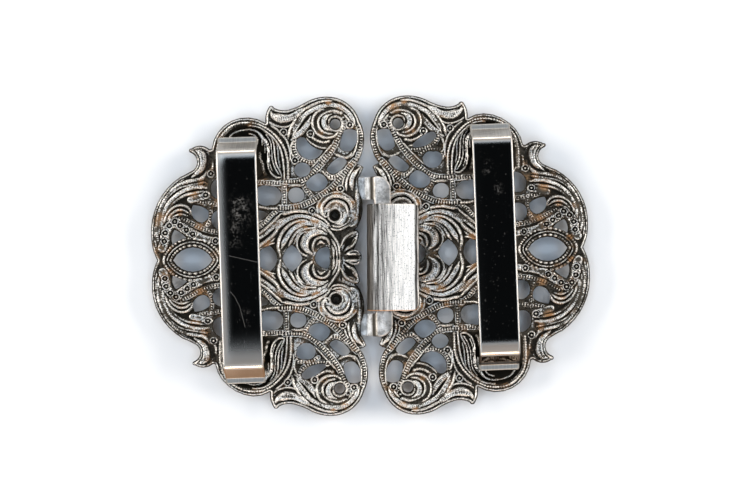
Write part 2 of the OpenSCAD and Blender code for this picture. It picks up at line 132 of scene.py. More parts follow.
# Gaps that only one quadrant has.
OWN_GAPS = {
    Quadrant.HIGH: {
        "bean": ((8.7, 20.8), ((10.7, 21.6, 12.0, 23.1), (13.2, 23.3, 13.8, 22.2),
                               (13.3, 20.3, 11.5, 19.1), (9.8, 19.4, 8.7, 20.8))),
        "pebble": ((11.1, 17.1), ((12.8, 18.5, 14.4, 17.1), (12.8, 15.7, 11.1, 17.1))),
    },
    Quadrant.LOW: {
        "bean": ((8.9, 21.6), ((10.6, 23.0, 12.6, 23.9), (13.4, 23.5, 13.1, 22.4),
                               (11.4, 21.2, 9.2, 20.9), (8.8, 21.2, 8.9, 21.6))),
        "pebble": ((10.7, 18.4), ((11.2, 19.6, 12.8, 19.9), (14.2, 19.5, 14.4, 18.2),
                                  (12.7, 16.7, 10.7, 18.4))),
    },
}

# Gaps on the long axis, upper half of each.
AXIS_GAPS: dict[str, tuple[Point, tuple[Row, ...]]] = {
    "marquise": ((38.0, 0.0), ((34.2, 2.4, 30.4, 0.0),)),
    "diamond": ((16.85, 0.0), ((16.1, 1.6, 15.0, 2.6), (13.8, 1.5, 13.0, 0.0))),
    "shield": ((10.6, 0.0), ((9.8, 1.5, 8.1, 2.1), (7.7, 1.2, 7.8, 0.0))),
    "almond": ((22.6, 0.0), ((21.0, 1.7, 19.3, 2.5), (18.3, 1.4, 17.9, 0.0))),
}

# The raised work. Columns: cut, width, height, points p,q along the middle of the line.
STROKES: tuple[tuple[Cut, float, float, str], ...] = (
    # raised ground under the scrolls
    (Cut.FLAT, 3.1, 0.36, "3.5,7.4 3.7,9.2 4.8,10.5 6.4,10.9 7.8,10.4 8.6,9.2"),
    (Cut.FLAT, 2.0, 0.16, "5.2,28.6 7.6,28.7 9.4,27.6 10.0,26.0 9.3,24.4 7.6,23.6"),
    # upper lobe: ribbons that sweep round the scroll into the curled tip
    (Cut.LEAF, 1.75, 0.60, "11.6,29.1 13.2,28.2 14.8,27.4 16.6,27.1 18.1,27.6 18.8,28.5"),
    (Cut.RIB, 0.50, 0.60, "14.0,28.9 15.1,28.5 16.1,28.4 17.1,28.7 17.8,29.2"),
    (Cut.RIB, 0.36, 0.48, "14.4,26.1 15.3,25.5 16.6,25.4 18.2,25.9 19.3,26.7"),
    (Cut.LEAF, 0.80, 0.52,
     "2.4,25.5 3.1,27.2 4.5,28.7 6.1,29.4 7.8,29.5 9.6,29.0 11.4,28.1 12.9,26.8 14.0,25.3 "
     "14.8,23.9"),
    (Cut.RIB, 0.50, 0.60, "6.8,30.25 8.6,30.2 10.4,29.6 12.2,28.7"),
    (Cut.RIB, 0.48, 0.47, "5.0,27.9 6.4,28.35 8.0,28.0 9.2,27.1 9.5,25.9 9.1,24.8 7.8,24.0 6.6,23.9"),
    (Cut.RIB, 0.52, 0.50,
     "8.4,28.8 9.9,28.0 10.6,26.5 10.4,25.0 9.5,23.8 7.9,23.2 6.4,23.5 5.6,24.4"),
    (Cut.LEAF, 1.00, 0.62, "6.9,27.75 8.0,27.2 8.45,26.1 8.0,25.1 6.9,24.5"),
    (Cut.RIB, 0.38, 0.45,
     "7.55,25.9 7.2,26.9 6.2,27.3 5.2,26.9 4.8,25.9 5.2,24.8 6.2,24.45 7.2,24.9 7.55,25.8"),
    (Cut.RIB, 0.42, 0.50, "3.2,25.4 3.6,26.6 4.5,27.7"),
    (Cut.LEAF, 1.15, 0.50, "10.9,27.4 11.4,26.1 12.4,24.8 13.6,23.8 14.8,22.9"),
    (Cut.RIB, 0.40, 0.52, "11.7,27.7 12.8,26.2 13.7,24.9 14.6,23.5"),
    (Cut.RIB, 0.60, 0.58, "13.4,27.4 14.3,26.1 15.0,24.7 15.4,23.1"),
    # left rim band, necklace and lattice
    (Cut.MILL, 0.95, 0.48, "1.75,25.0 1.3,23.2 1.5,21.2 2.0,19.3 2.7,18.2"),
    (Cut.RIB, 0.32, 0.50, "2.1,25.2 1.9,23.6 2.15,21.5 2.8,19.9 3.5,19.2"),
    (Cut.ROW, 0.85, 0.55, "7.3,22.6 8.4,22.3 9.6,22.6 10.7,23.3 11.7,24.0"),
    (Cut.RIB, 0.30, 0.45, "7.9,21.2 9.4,21.4 10.9,22.2 11.9,23.3"),
    (Cut.BEAD, 1.15, 0.55,
     "4.6,26.6 4.6,25.6 5.2,24.2 5.9,22.7 6.6,21.3 7.6,19.8 8.9,18.2 10.2,16.9 11.6,15.7 "
     "13.2,15.0 15.0,14.8 16.6,14.9"),
    (Cut.RIB, 0.30, 0.52, "6.9,21.9 8.3,20.3 9.7,18.7 11.0,17.4"),
    (Cut.MILL, 1.30, 0.54,
     "2.6,18.6 3.6,17.4 4.8,15.9 6.2,14.4 7.7,13.0 9.4,11.9 11.2,10.9 13.2,10.05 15.4,9.7 "
     "17.3,9.7"),
    (Cut.ROW, 0.95, 0.55, "17.6,9.7 19.2,9.7 20.8,10.0 22.8,10.2 25,10.2"),
    (Cut.RIB, 0.45, 0.60, "3.0,20.4 3.5,19.6 4.3,19.3 5.3,19.5 6.4,20.1"),
    (Cut.BEAD, 0.95, 0.48, "4.9,16.5 6.2,15.6 7.6,15.7 8.9,16.9"),
    (Cut.RIB, 0.30, 0.55, "7.2,15.1 8.2,16.0 9.1,17.0"),
    (Cut.BEAD, 0.95, 0.48, "10.9,11.8 12.0,13.2 13.0,14.8"),
    (Cut.BEAD, 0.95, 0.48, "16.2,14.6 16.3,12.6 16.3,10.6"),
    (Cut.RIB, 0.45, 0.60, "12.6,14.0 14.0,14.1 15.4,14.0"),
    # arch over the dome, its sill and the hollow petals
    (Cut.ROW, 0.95, 0.55,
     "15.5,15.5 15.5,17.6 15.6,19.4 16.15,21.3 17.2,23.0 18.6,24.5 20.6,25.8 22.8,26.3 25.0,26.2 "
     "27.0,25.2 28.5,23.4 29.1,21.2 29.2,18.6 29.1,16.6"),
    (Cut.RIB, 0.34, 0.60,
     "16.2,15.2 16.3,17.8 16.6,20.0 17.1,21.7 18.0,23.1 19.3,24.4 21.0,25.4 23.0,25.8"),
    (Cut.RIB, 0.34, 0.55, "15.0,18.6 15.0,20.0 15.25,21.6 15.9,23.2 17.2,24.7 18.7,25.8"),
    (Cut.FIN, 0.34, 0.34, "16.6,15.6 17.0,16.8 17.7,18.2 18.0,20.1 18.1,21.9 18.6,23.4 20.0,24.7"),
    (Cut.FIN, 0.28, 0.26, "17.0,17.6 17.3,19.4 17.4,21.2 17.9,22.9 19.0,24.2"),
    (Cut.FIN, 0.28, 0.22, "17.2,16.2 18.0,17.5 18.5,19.2 18.6,21.0 18.8,22.6 19.6,24.0"),
    (Cut.FIN, 0.34, 0.32, "16.6,15.8 17.7,15.7 18.8,16.6 19.35,18.2 19.35,20.1 19.5,21.9 20.1,23.4"),
    (Cut.FIN, 0.26, 0.20, "18.5,16.9 19.0,18.4 19.0,20.2 19.15,21.9 19.7,23.2"),
    (Cut.FIN, 0.32, 0.24, "20.4,22.0 20.5,23.4 21.3,24.5 22.6,25.0 24.2,24.9"),
    (Cut.FIN, 0.28, 0.20, "21.2,22.6 21.6,23.7 22.9,24.3"),
    (Cut.FIN, 0.26, 0.18, "19.9,20.6 20.0,22.4 20.5,24.0 21.9,25.0"),
    (Cut.FIN, 0.28, 0.16, "24.4,24.9 26.0,24.3 27.0,23.2"),
    (Cut.ROW, 0.55, 0.30, "20.9,20.4 20.8,19.3 20.3,18.2 20.2,17.2 19.8,16.3"),
    (Cut.MILL, 1.00, 0.55, "16.8,14.5 18.4,14.6 20.0,14.7 21.8,14.8 24,14.8"),
    (Cut.RIB, 0.36, 0.55, "13.9,19.3 14.7,20.2 14.85,21.5 14.4,22.8"),
    # lower scroll beside the middle, with its leaf
    (Cut.LEAF, 0.80, 0.58, "1.7,17.2 2.75,16.1 3.25,14.7 3.1,12.9"),
    (Cut.RIB, 0.55, 0.52, "2.8,17.4 3.75,15.9 4.25,14.4 4.25,12.9"),
    (Cut.RIB, 0.40, 0.48, "4.1,16.2 4.8,15.0 5.0,13.7"),
    (Cut.LEAF, 0.70, 0.44, "2.3,12.9 2.15,11.4 2.15,9.8 2.35,8.0 2.9,6.5"),
    (Cut.RIB, 0.40, 0.46,
     "2.65,9.6 2.75,10.6 3.35,11.3 4.2,12.0 5.3,12.5 6.6,12.6 8.2,12.1 9.35,11.1 9.95,9.9 "
     "9.85,8.5 9.1,7.4"),
    (Cut.RIB, 0.66, 0.62,
     "3.1,9.0 3.35,10.2 4.1,11.2 5.3,11.8 6.8,11.9 8.1,11.2 9.0,10.1 9.1,8.8 8.5,7.8"),
    (Cut.RIB, 0.66, 0.62, "4.0,7.6 4.05,9.2 4.75,10.3 5.9,10.85 7.2,10.75 8.0,10.0 8.25,9.2"),
    (Cut.RIB, 0.30, 0.42, "5.1,9.9 6.4,10.2 7.5,9.9"),
    (Cut.LEAF, 0.90, 0.62, "4.9,9.7 4.5,8.6 4.7,7.5 5.5,6.7 6.6,6.5"),
    (Cut.RIB, 0.36, 0.48,
     "7.95,8.2 7.55,9.15 6.6,9.55 5.65,9.15 5.25,8.2 5.65,7.25 6.6,6.85 7.55,7.25 7.95,8.1"),
    (Cut.RIB, 0.42, 0.47, "2.95,8.2 3.4,7.0 4.2,6.1 5.3,5.5 6.6,5.4 7.6,5.8"),
    (Cut.RIB, 0.42, 0.50, "3.55,8.1 3.9,7.0 4.8,6.3 6.0,5.95 7.4,6.3"),
    # hollow leaf and bud at the middle
    (Cut.RIB, 0.42, 0.52, "2.2,4.6 2.5,3.2 3.4,2.1 4.6,1.35"),
    (Cut.RIB, 0.46, 0.60, "2.4,4.85 3.6,4.5 4.7,3.7 5.3,2.4 5.45,1.0"),
    (Cut.RIB, 0.24, 0.20, "3.3,3.75 4.0,3.2 4.6,2.5"),
    (Cut.RIB, 0.40, 0.52, "1.7,0.5 2.4,1.3 3.5,1.15 4.6,0.5"),
    (Cut.RIB, 0.50, 0.58, "1.9,0.55 3.2,0.65 4.5,0.5"),
    (Cut.RIB, 0.46, 0.60, "5.75,0.0 5.8,1.5 6.1,2.8 6.7,3.8 7.4,4.8 8.2,5.8"),
    (Cut.RIB, 0.42, 0.50, "6.25,0.0 6.35,1.5 6.75,2.6 7.3,3.5"),
    (Cut.RIB, 0.42, 0.52, "6.95,0.0 6.9,1.4 7.2,2.3"),
    # fan of long leaves
    (Cut.RIB, 0.62, 0.56, "7.4,5.9 8.8,7.4 10.4,8.4 12.2,8.95 14.2,9.1 15.8,8.75 17.2,8.6"),
    (Cut.LEAF, 1.00, 0.55, "7.6,5.0 8.9,6.7 10.4,7.6 12.2,8.1 14.0,8.0 15.8,7.4 17.3,6.4 18.3,5.1"),
    (Cut.RIB, 0.62, 0.50,
     "8.0,4.9 9.4,6.2 11.1,7.1 12.9,7.3 14.8,6.8 16.3,5.6 17.2,4.2 17.6,2.7 17.5,1.4 17.2,0.6"),
    (Cut.LEAF, 0.90, 0.58, "8.6,5.4 10.1,6.4 11.9,6.75 13.4,6.4 14.8,5.5 15.8,4.2 16.6,2.9 17.0,1.9"),
    (Cut.RIB, 0.62, 0.50, "11.6,6.1 13.1,5.7 14.3,4.6 15.1,3.3 15.6,2.4"),
    (Cut.RIB, 0.42, 0.58, "9.9,5.8 11.2,5.8 12.6,5.5 13.6,4.7 14.2,3.6 14.5,2.9"),
    (Cut.RIB, 0.56, 0.60, "17.1,8.5 18.0,7.6 19.2,6.5 20.3,5.55 21.4,4.8 23.4,3.9"),
    (Cut.LEAF, 0.80, 0.48, "16.3,7.9 17.6,6.9 19.0,5.75 20.3,4.7 21.6,3.9 23.0,3.2"),
    (Cut.RIB, 0.66, 0.62, "17.4,6.0 18.4,4.7 19.5,3.75 20.6,2.95 21.8,2.2 23.0,1.7"),
    (Cut.RIB, 0.60, 0.44, "18.2,4.0 19.2,3.1 20.3,2.35 21.4,1.7 22.6,1.1"),
    (Cut.RIB, 0.30, 0.50, "18.3,3.0 19.2,2.75 20.3,2.0 21.3,1.3"),
    (Cut.BEAD, 0.90, 0.52, "17.8,9.2 18.9,8.3 19.7,7.3 20.9,6.3 22.6,5.8"),
    (Cut.LEAF, 1.50, 0.64, "8.3,4.6 9.5,5.0 10.9,4.9 12.0,4.1 12.5,2.8 12.1,1.6 11.2,0.8"),
    (Cut.RIB, 0.36, 0.48, "11.4,5.4 12.8,4.9 13.7,3.9 14.0,2.7 13.7,1.6 13.0,0.8 12.2,0.4"),
    (Cut.RIB, 0.50, 0.60, "7.7,2.6 8.2,3.6 9.3,3.95 10.4,3.5 10.9,2.4 10.9,1.4"),
    (Cut.RIB, 0.70, 0.62, "8.7,2.7 9.4,3.1 10.0,2.6"),
    (Cut.RIB, 0.30, 0.44, "17.3,0.0 17.4,1.0 17.8,2.3"),
    # outer lobe: long leaves that follow its edge, curl and bands
    (Cut.RIB, 0.46, 0.50,
     "34.6,16.4 36.0,15.5 37.6,14.5 39.2,12.9 40.6,10.4 41.4,7.8 41.5,4.8 41.1,2.2"),
    (Cut.LEAF, 0.66, 0.54,
     "31.2,16.5 32.4,15.6 34.2,15.3 36.0,14.8 37.9,13.6 39.4,11.8 40.4,9.6 40.9,7.2 41.0,4.9 "
     "40.7,3.0"),
    (Cut.RIB, 0.46, 0.48,
     "31.4,15.0 33.0,14.7 34.6,14.4 36.5,13.9 38.2,12.7 39.5,10.9 40.2,8.8 40.5,6.8 40.5,4.8"),
    (Cut.LEAF, 0.72, 0.62,
     "31.2,13.9 33.2,14.1 35.2,13.6 37.0,12.6 38.5,11.2 39.5,9.4 40.0,7.4 40.1,5.8"),
    (Cut.RIB, 0.60, 0.46, "31.9,13.3 33.5,12.9 35.3,12.6 37.0,11.7 38.3,10.4 39.2,8.8 39.7,7.2"),
    (Cut.RIB, 0.56, 0.62, "34.2,8.6 34.5,9.7 35.6,10.5 37.0,10.5 38.3,9.7 39.2,8.4 39.6,7.0"),
    (Cut.RIB, 0.56, 0.56, "34.5,8.8 35.6,9.6 36.9,9.7 38.1,8.9 39.0,7.6"),
    (Cut.RIB, 0.42, 0.48, "34.9,8.5 36.3,8.9 37.6,8.5 38.8,7.4"),
    (Cut.BEAD, 0.95, 0.50, "26.0,5.0 28.6,5.2 30.6,5.5 32.4,6.1 34.2,7.0 36.3,8.2"),
    (Cut.BEAD, 0.90, 0.50, "26.0,10.6 28.6,10.6 31.0,10.9 32.6,11.2 34.2,11.7"),
    (Cut.BEAD, 0.80, 0.48, "30.8,11.4 30.6,9.6 30.7,7.6 31.4,6.3"),
    (Cut.FLAT, 1.85, 0.40,
     "33.0,4.5 34.2,5.1 35.4,5.9 36.6,6.7 37.5,7.4 38.6,6.6 39.4,5.2 39.6,3.6 40.0,2.4"),
    (Cut.FLAT, 1.30, 0.40, "28.0,3.3 29.6,3.6 31.2,4.0 33.0,4.5"),
    (Cut.FLAT, 1.40, 0.40, "31.2,12.5 32.4,12.1 34.4,11.6"),
    (Cut.LEAF, 1.60, 0.62, "33.9,21.0 32.6,20.8 32.0,19.8 32.2,18.4 32.9,17.1 34.0,16.0"),
    (Cut.RIB, 0.40, 0.48, "30.7,20.4 31.2,21.2 32.6,21.5 33.9,21.2"),
    (Cut.RIB, 0.36, 0.52, "31.0,17.3 31.7,16.3 32.9,15.6"),
    (Cut.ROW, 0.60, 0.42, "29.9,19.2 30.0,18.0 30.3,16.9"),
    # hollows
    (Cut.DIP, 1.50, 0.68, "2.6,4.15 3.5,3.5 4.3,2.6 4.95,1.5"),
    (Cut.DIP, 0.40, 0.60, "3.4,1.75 4.3,1.2 4.9,0.8"),
    (Cut.DIP, 0.34, 0.45, "1.9,0.12 3.0,0.15 4.2,0.1"),
    (Cut.DIP, 0.50, 0.40, "5.45,4.7 5.6,3.4"),
    (Cut.DIP, 0.60, 0.45, "9.55,2.5 9.7,2.45"),
    (Cut.DIP, 0.30, 0.30, "3.7,9.2 4.25,10.5 5.5,11.25 6.9,11.3 7.9,10.7 8.5,9.9"),
    (Cut.DIP, 0.34, 0.35, "8.1,8.7 8.3,8.2"),
    (Cut.DIP, 0.40, 0.35, "4.3,26.9 4.5,26.5"),
    (Cut.DIP, 0.30, 0.30, "9.0,26.6 8.95,25.6 8.4,24.7"),
    (Cut.DIP, 0.30, 0.30, "13.9,28.5 15.0,28.0 16.2,27.95 17.2,28.3 17.6,28.8"),
    (Cut.DIP, 0.24, 0.28, "8.2,6.6 9.2,7.3 10.7,8.0 12.4,8.5 14.6,8.55 16.4,8.1"),
    (Cut.DIP, 0.24, 0.28, "11.4,7.2 13.0,7.7 14.9,7.3 16.3,6.4"),
)

# Strokes that only one quadrant has.
OWN_STROKES = {
    Quadrant.HIGH: ((Cut.BEAD, 0.95, 0.50,
                     "8.0,20.0 9.2,18.9 11.4,18.5 13.4,19.4 14.3,21.0 14.3,22.8"),),
    Quadrant.LOW: ((Cut.BEAD, 0.95, 0.50, "7.8,20.6 9.6,20.5 11.6,20.8 13.2,21.6 14.0,23.2"),
                   (Cut.BEAD, 0.80, 0.45, "10.2,19.6 12.0,20.4 14.4,20.3")),
}

# Places rubbed through to copper. Columns: p, q, radius.
COPPER = (
    (5.0, 29.3, 1.3), (7.4, 30.1, 0.9), (9.0, 24.2, 0.8), (3.0, 10.8, 0.8), (6.0, 12.7, 1.4),
    (9.7, 10.2, 1.0), (9.8, 4.5, 0.9), (10.3, 7.4, 1.4), (13.2, 7.2, 1.7), (12.0, 5.8, 0.9),
    (19.8, 2.9, 1.3), (32.0, 14.9, 1.3), (32.2, 16.6, 0.8), (34.0, 13.0, 1.6), (36.6, 9.3, 1.0),
    (38.5, 2.2, 1.0), (32.8, 6.4, 1.3), (14.2, 10.2, 1.3), (3.4, 17.9, 0.9), (8.6, 13.0, 1.0),
)

# Sunk floor inside the arch over the dome. Columns: p, q.
ARCH = (
    (16.2, 15.3), (16.2, 17.6), (16.4, 19.6), (17.2, 22.0), (18.8, 24.2), (21.0, 25.5),
    (24.0, 25.8), (26.8, 24.8), (28.4, 22.6), (28.7, 19.6), (28.6, 16.4), (27.0, 15.2),
    (21.0, 15.2), (16.2, 15.3),
)

# Beads in round pits. Columns: p, q.
DOTS = (
    (29.7, 3.6), (34.1, 5.0), (35.3, 5.8), (36.5, 6.65), (37.5, 7.5), (38.6, 6.7), (39.4, 5.3),
    (39.6, 3.7), (10.95, 9.15), (3.4, 25.6), (5.4, 13.3), (16.2, 24.4), (14.1, 18.9), (31.45, 12.5),
    (30.4, 16.6), (11.0, 24.0),
)


def circle(middle: Array | Point, radius: float, turn: Array) -> Array:
    """Points at some turns, in radians, on a circle round a middle."""
    return middle + radius * np.stack([np.cos(turn), np.sin(turn)], 1)


def turned(x: Array, y: Array, degrees: float) -> tuple[Array, Array]:
    """Both coordinates, turned about the origin: x cos - y sin and x sin + y cos."""
    turn = math.radians(degrees)
    return x * math.cos(turn) - y * math.sin(turn), x * math.sin(turn) + y * math.cos(turn)


def run_lengths(line: Array) -> Array:
    """Length along a line of points at each of them."""
    return np.concatenate([[0], np.cumsum(np.hypot(*np.diff(line, axis=0).T))])


def mirrored(half_loop: Array) -> Array:
    """A half loop above the long axis, closed by its mirror image below it."""
    return np.concatenate([half_loop, (half_loop * (1, -1))[-2:0:-1]])


def near_loop(points: Array, loop: Array, reach: float) -> Array:
    """Numbers of the points in the box round a loop, grown by a reach."""
    low, high = loop.min(0) - reach, loop.max(0) + reach
    return np.flatnonzero(((points > low) & (points < high)).all(1))


def edge_fall(gap: Array, radius: float) -> Array:
    """How far a quarter-round edge falls at a distance inwards: r - sqrt(r*r - (r - gap)**2)."""
    near = np.clip(radius - gap, 0, radius)
    return radius - np.sqrt(radius**2 - near**2)


def arc_points(a: Array, m: Array, b: Array, steps: int) -> Array:
    """Points of the arc from a through m to b, without a itself.

    The circle's middle is where the perpendicular bisectors of a-m and m-b cross, and the
    points lie at even turns of angle on the side that holds m.

    Args:
        a: First point.
        m: A point on the arc.
        b: Last point.
        steps: Number of points.
    Returns:
        The points, one a row.
    """
    d = 2 * (a[0] * (m[1] - b[1]) + m[0] * (b[1] - a[1]) + b[0] * (a[1] - m[1]))
    t = np.arange(1, steps + 1)[:, None] / steps
    if abs(d) < 1e-6:
        return a + t * (b - a)
    sq = [v @ v for v in (a, m, b)]
    mid = np.array([sq[0] * (m[1] - b[1]) + sq[1] * (b[1] - a[1]) + sq[2] * (a[1] - m[1]),
                    sq[0] * (b[0] - m[0]) + sq[1] * (a[0] - b[0]) + sq[2] * (m[0] - a[0])]) / d
    turn = [math.atan2(*(v - mid)[::-1]) for v in (a, m, b)]
    full = 2 * math.pi
    sweep = (turn[2] - turn[0]) % full
    if (turn[1] - turn[0]) % full > sweep:
        sweep -= full
    angle = turn[0] + sweep * t[:, 0]
    return circle(mid, np.hypot(*(a - mid)), angle)


def chain(start: Point, rows: tuple[Row, ...], steps: int = 8) -> Array:
    """Points of an outline that starts at a point and follows rows of arcs.

    Args:
        start: First point.
        rows: A point on each arc and its end.
        steps: Points on each arc.
    Returns:
        The points, one a row.
    """
    parts = [np.array([start], float)]
    for through_p, through_q, end_p, end_q in rows:
        parts.append(arc_points(parts[-1][-1], np.array([through_p, through_q]),
                                np.array([end_p, end_q]), steps))
    return np.concatenate(parts)


def smooth_line(points: Array, step: float = 0.12) -> Array:
    """A Catmull-Rom line through the points, with its samples about a step apart.

    Args:
        points: The points to pass through.
        step: Wanted distance between samples.
    Returns:
        The samples, one a row.
    """
    padded = np.vstack([points[:1], points, points[-1:]])
    parts = []
    for i in range(len(points) - 1):
        p0, p1, p2, p3 = padded[i:i + 4]
        count = max(2, int(math.dist(p1, p2) / step))
        t = np.arange(count)[:, None] / count
        parts.append((2 * p1 + t * (p2 - p0) + t**2 * (2 * p0 - 5 * p1 + 4 * p2 - p3)
                      + t**3 * (3 * p1 - p0 - 3 * p2 + p3)) / 2)
    return np.vstack(parts + [points[-1:]])


def loop_distance(points: Array, loop: Array) -> tuple[Array, Array]:
    """Signed distance to a closed loop, more than 0 inside, and the nearest point on it.

    Args:
        points: Points, one a row.
        loop: The loop's corners, one a row.
    Returns:
        The distances and the nearest points.
    """
    best = np.full(len(points), np.inf)
    near = np.zeros_like(points)
    inside = np.zeros(len(points), bool)
    for a, b in zip(loop, np.roll(loop, -1, 0)):
        along = b - a
        length2 = along @ along
        if length2 < 1e-12:
            continue
        t = np.clip((points - a) @ along / length2, 0, 1)
        foot = a + t[:, None] * along
        gap = ((points - foot) ** 2).sum(1)
        closer = gap < best
        best = np.where(closer, gap, best)
        near[closer] = foot[closer]
        if a[1] != b[1]:
            spans = (a[1] > points[:, 1]) != (b[1] > points[:, 1])
            crossing = a[0] + (points[:, 1] - a[1]) * along[0] / along[1]
            inside ^= spans & (points[:, 0] < crossing)
    return np.where(inside, 1, -1) * np.sqrt(best), near


def line_distance(points: Array, line: Array) -> tuple[Array, Array, float]:
    """Distance to an open line, the length along it at the nearest sample, and its length.

    Args:
        points: Points, one a row.
        line: The line's samples, one a row.
    Returns:
        Distances, lengths along the line, and the whole length.
    """
    run = run_lengths(line)
    best = np.full(len(points), np.inf)
    along = np.zeros(len(points))
    for i, (a, b) in enumerate(zip(line[:-1], line[1:])):
        step = b - a
        t = np.clip((points - a) @ step / max(step @ step, 1e-12), 0, 1)
        gap = ((points - a - t[:, None] * step) ** 2).sum(1)
        closer = gap < best
        best[closer] = gap[closer]
        along[closer] = (run[i] + t * (run[i + 1] - run[i]))[closer]
    return np.sqrt(best), along, float(run[-1])


def smoothstep(x: Array) -> Array:
    """0 below 0, 1 above 1, and a cubic ease between."""
    x = np.clip(x, 0, 1)
    return x * x * (3 - 2 * x)


def dome(x: Array) -> Array:
    """Height of a unit half circle at x, and 0 past its ends."""
    return np.sqrt(np.clip(1 - x * x, 0, None))


@dataclass(frozen=True)
class Region:
    """A drawn area: an outer loop with holes, whose edges are felt up to a reach inwards."""

    outer: Array
    holes: tuple[Array, ...] = ()
    reach: float = 1.6

    def distance(self, points: Array) -> tuple[Array, Array, Array]:
        """Distance inwards from the outer loop and from the holes, and the nearest edge point.

        Args:
            points: Points, one a row.
        Returns:
            Distance from the outer loop, from the nearest hole, and the nearest edge points.
        """
        outer, near = loop_distance(points, self.outer)
        hole = np.full(len(points), self.reach)
        for loop in self.holes:
            local = near_loop(points, loop, self.reach)
            gap, foot = loop_distance(points[local], loop)
            closer = -gap < hole[local]
            hole[local] = np.minimum(hole[local], -gap)
            nearest = closer & (-gap < outer[local])
            near[local[nearest]] = foot[nearest]
        return outer, hole, near


@dataclass
class Sheet:
    """A flat sheet of four-sided cells cut from a grid by a region's edge.

    Outer and hole are each point's distance from the outline and from the nearest hole, and
    place is its number in the whole grid.
    """

    points: Array
    cells: Array
    outer: Array
    hole: Array
    grid: tuple[int, int]
    place: Array

    @classmethod
    def cut(cls, xs: Array, ys: Array, region: Region, axis_row: bool = False) -> "Sheet":
        """Keep the cells whose middle lies in the region and draw their rim to its edge.

        A cell is kept where the mean of its corners' distances is more than 0. A corner that
        fewer than four kept cells share moves to the nearest point of the edge.

        Args:
            xs: Grid lines along the first axis.
            ys: Grid lines along the second axis.
            region: The drawn area.
            axis_row: True if the first row is a plane of symmetry, where points stay.
        Returns:
            The sheet.
        """
        nx, ny = len(xs), len(ys)
        points = np.stack(np.meshgrid(xs, ys, indexing="ij"), -1).reshape(-1, 2)
        outer, hole, near = region.distance(points)
        inner = np.minimum(outer, hole).reshape(nx, ny)
        keep = (inner[:-1, :-1] + inner[1:, :-1] + inner[1:, 1:] + inner[:-1, 1:]) > 0
        # Cells that touch at a corner alone go, in a few rounds.
        for _ in range(4):
            a, b = keep[:-1, :-1], keep[1:, 1:]
            c, d = keep[1:, :-1], keep[:-1, 1:]
            first, second = a & b & ~c & ~d, ~a & ~b & c & d
            if not (first.any() or second.any()):
                break
            keep[:-1, :-1] &= ~first
            keep[1:, :-1] &= ~second
        index = np.arange(nx * ny).reshape(nx, ny)
        cells = np.stack([index[:-1, :-1], index[1:, :-1], index[1:, 1:], index[:-1, 1:]], -1)
        cells = cells[keep]
        shared = np.bincount(cells.ravel(), minlength=nx * ny).reshape(nx, ny)
        rim = (shared > 0) & (shared < 4)
        if axis_row:
            rim[:, 0] = shared[:, 0] == 1
        rim = np.flatnonzero(rim.ravel())
        moved = near[rim]
        if axis_row:
            moved[rim % ny == 0, 1] = ys[0]
        points[rim] = moved
        outer[rim] = np.maximum(outer[rim], 0)
        hole[rim] = np.maximum(hole[rim], 0)
        finest = min(np.diff(xs).min(), np.diff(ys).min())
        edge = np.minimum(outer, hole)[rim] < 0.9 * finest
        outer[rim[edge & (outer[rim] < hole[rim])]] = 0
        hole[rim[edge & (outer[rim] >= hole[rim])]] = 0
        used = np.flatnonzero(shared.ravel())
        number = np.full(nx * ny, -1)
        number[used] = np.arange(len(used))
        return cls(points[used], number[cells], outer[used], hole[used], (nx, ny), used)

    def blurred(self, height: Array, cells: int) -> Array:
        """Mean height over a square of cells round each point, over the metal alone.

        Args:
            height: A value for each point.
            cells: Half the square's side, in grid steps.
        Returns:
            The means.
        """
        side = 2 * cells + 1

        def square_sum(values: Array | float) -> Array:
            """Sum of the values over the square, by running sums along both axes.

            Args:
                values: A value for each point, or one for all.
            Returns:
                The sums.
            """
            data = np.zeros(self.grid)
            data.ravel()[self.place] = values
            for axis, size in enumerate(self.grid):
                pad = [(cells + 1, cells) if k == axis else (0, 0) for k in (0, 1)]
                run = np.cumsum(np.pad(data, pad), axis)
                data = np.take(run, range(side, side + size), axis) - np.take(run, range(size), axis)
            return data.ravel()[self.place]

        return square_sum(height) / np.maximum(square_sum(1), 1)


def linked_object(name: str, data: bpy.types.ID) -> bpy.types.Object:
    """A new object with some data, linked to the scene."""
    thing = bpy.data.objects.new(name, data)
    bpy.context.scene.collection.objects.link(thing)
    return thing


def pair_keys(pairs: Array, count: int) -> Array:
    """One number for each pair of point numbers below a count."""
    return pairs[:, 0].astype(np.int64) * count + pairs[:, 1]


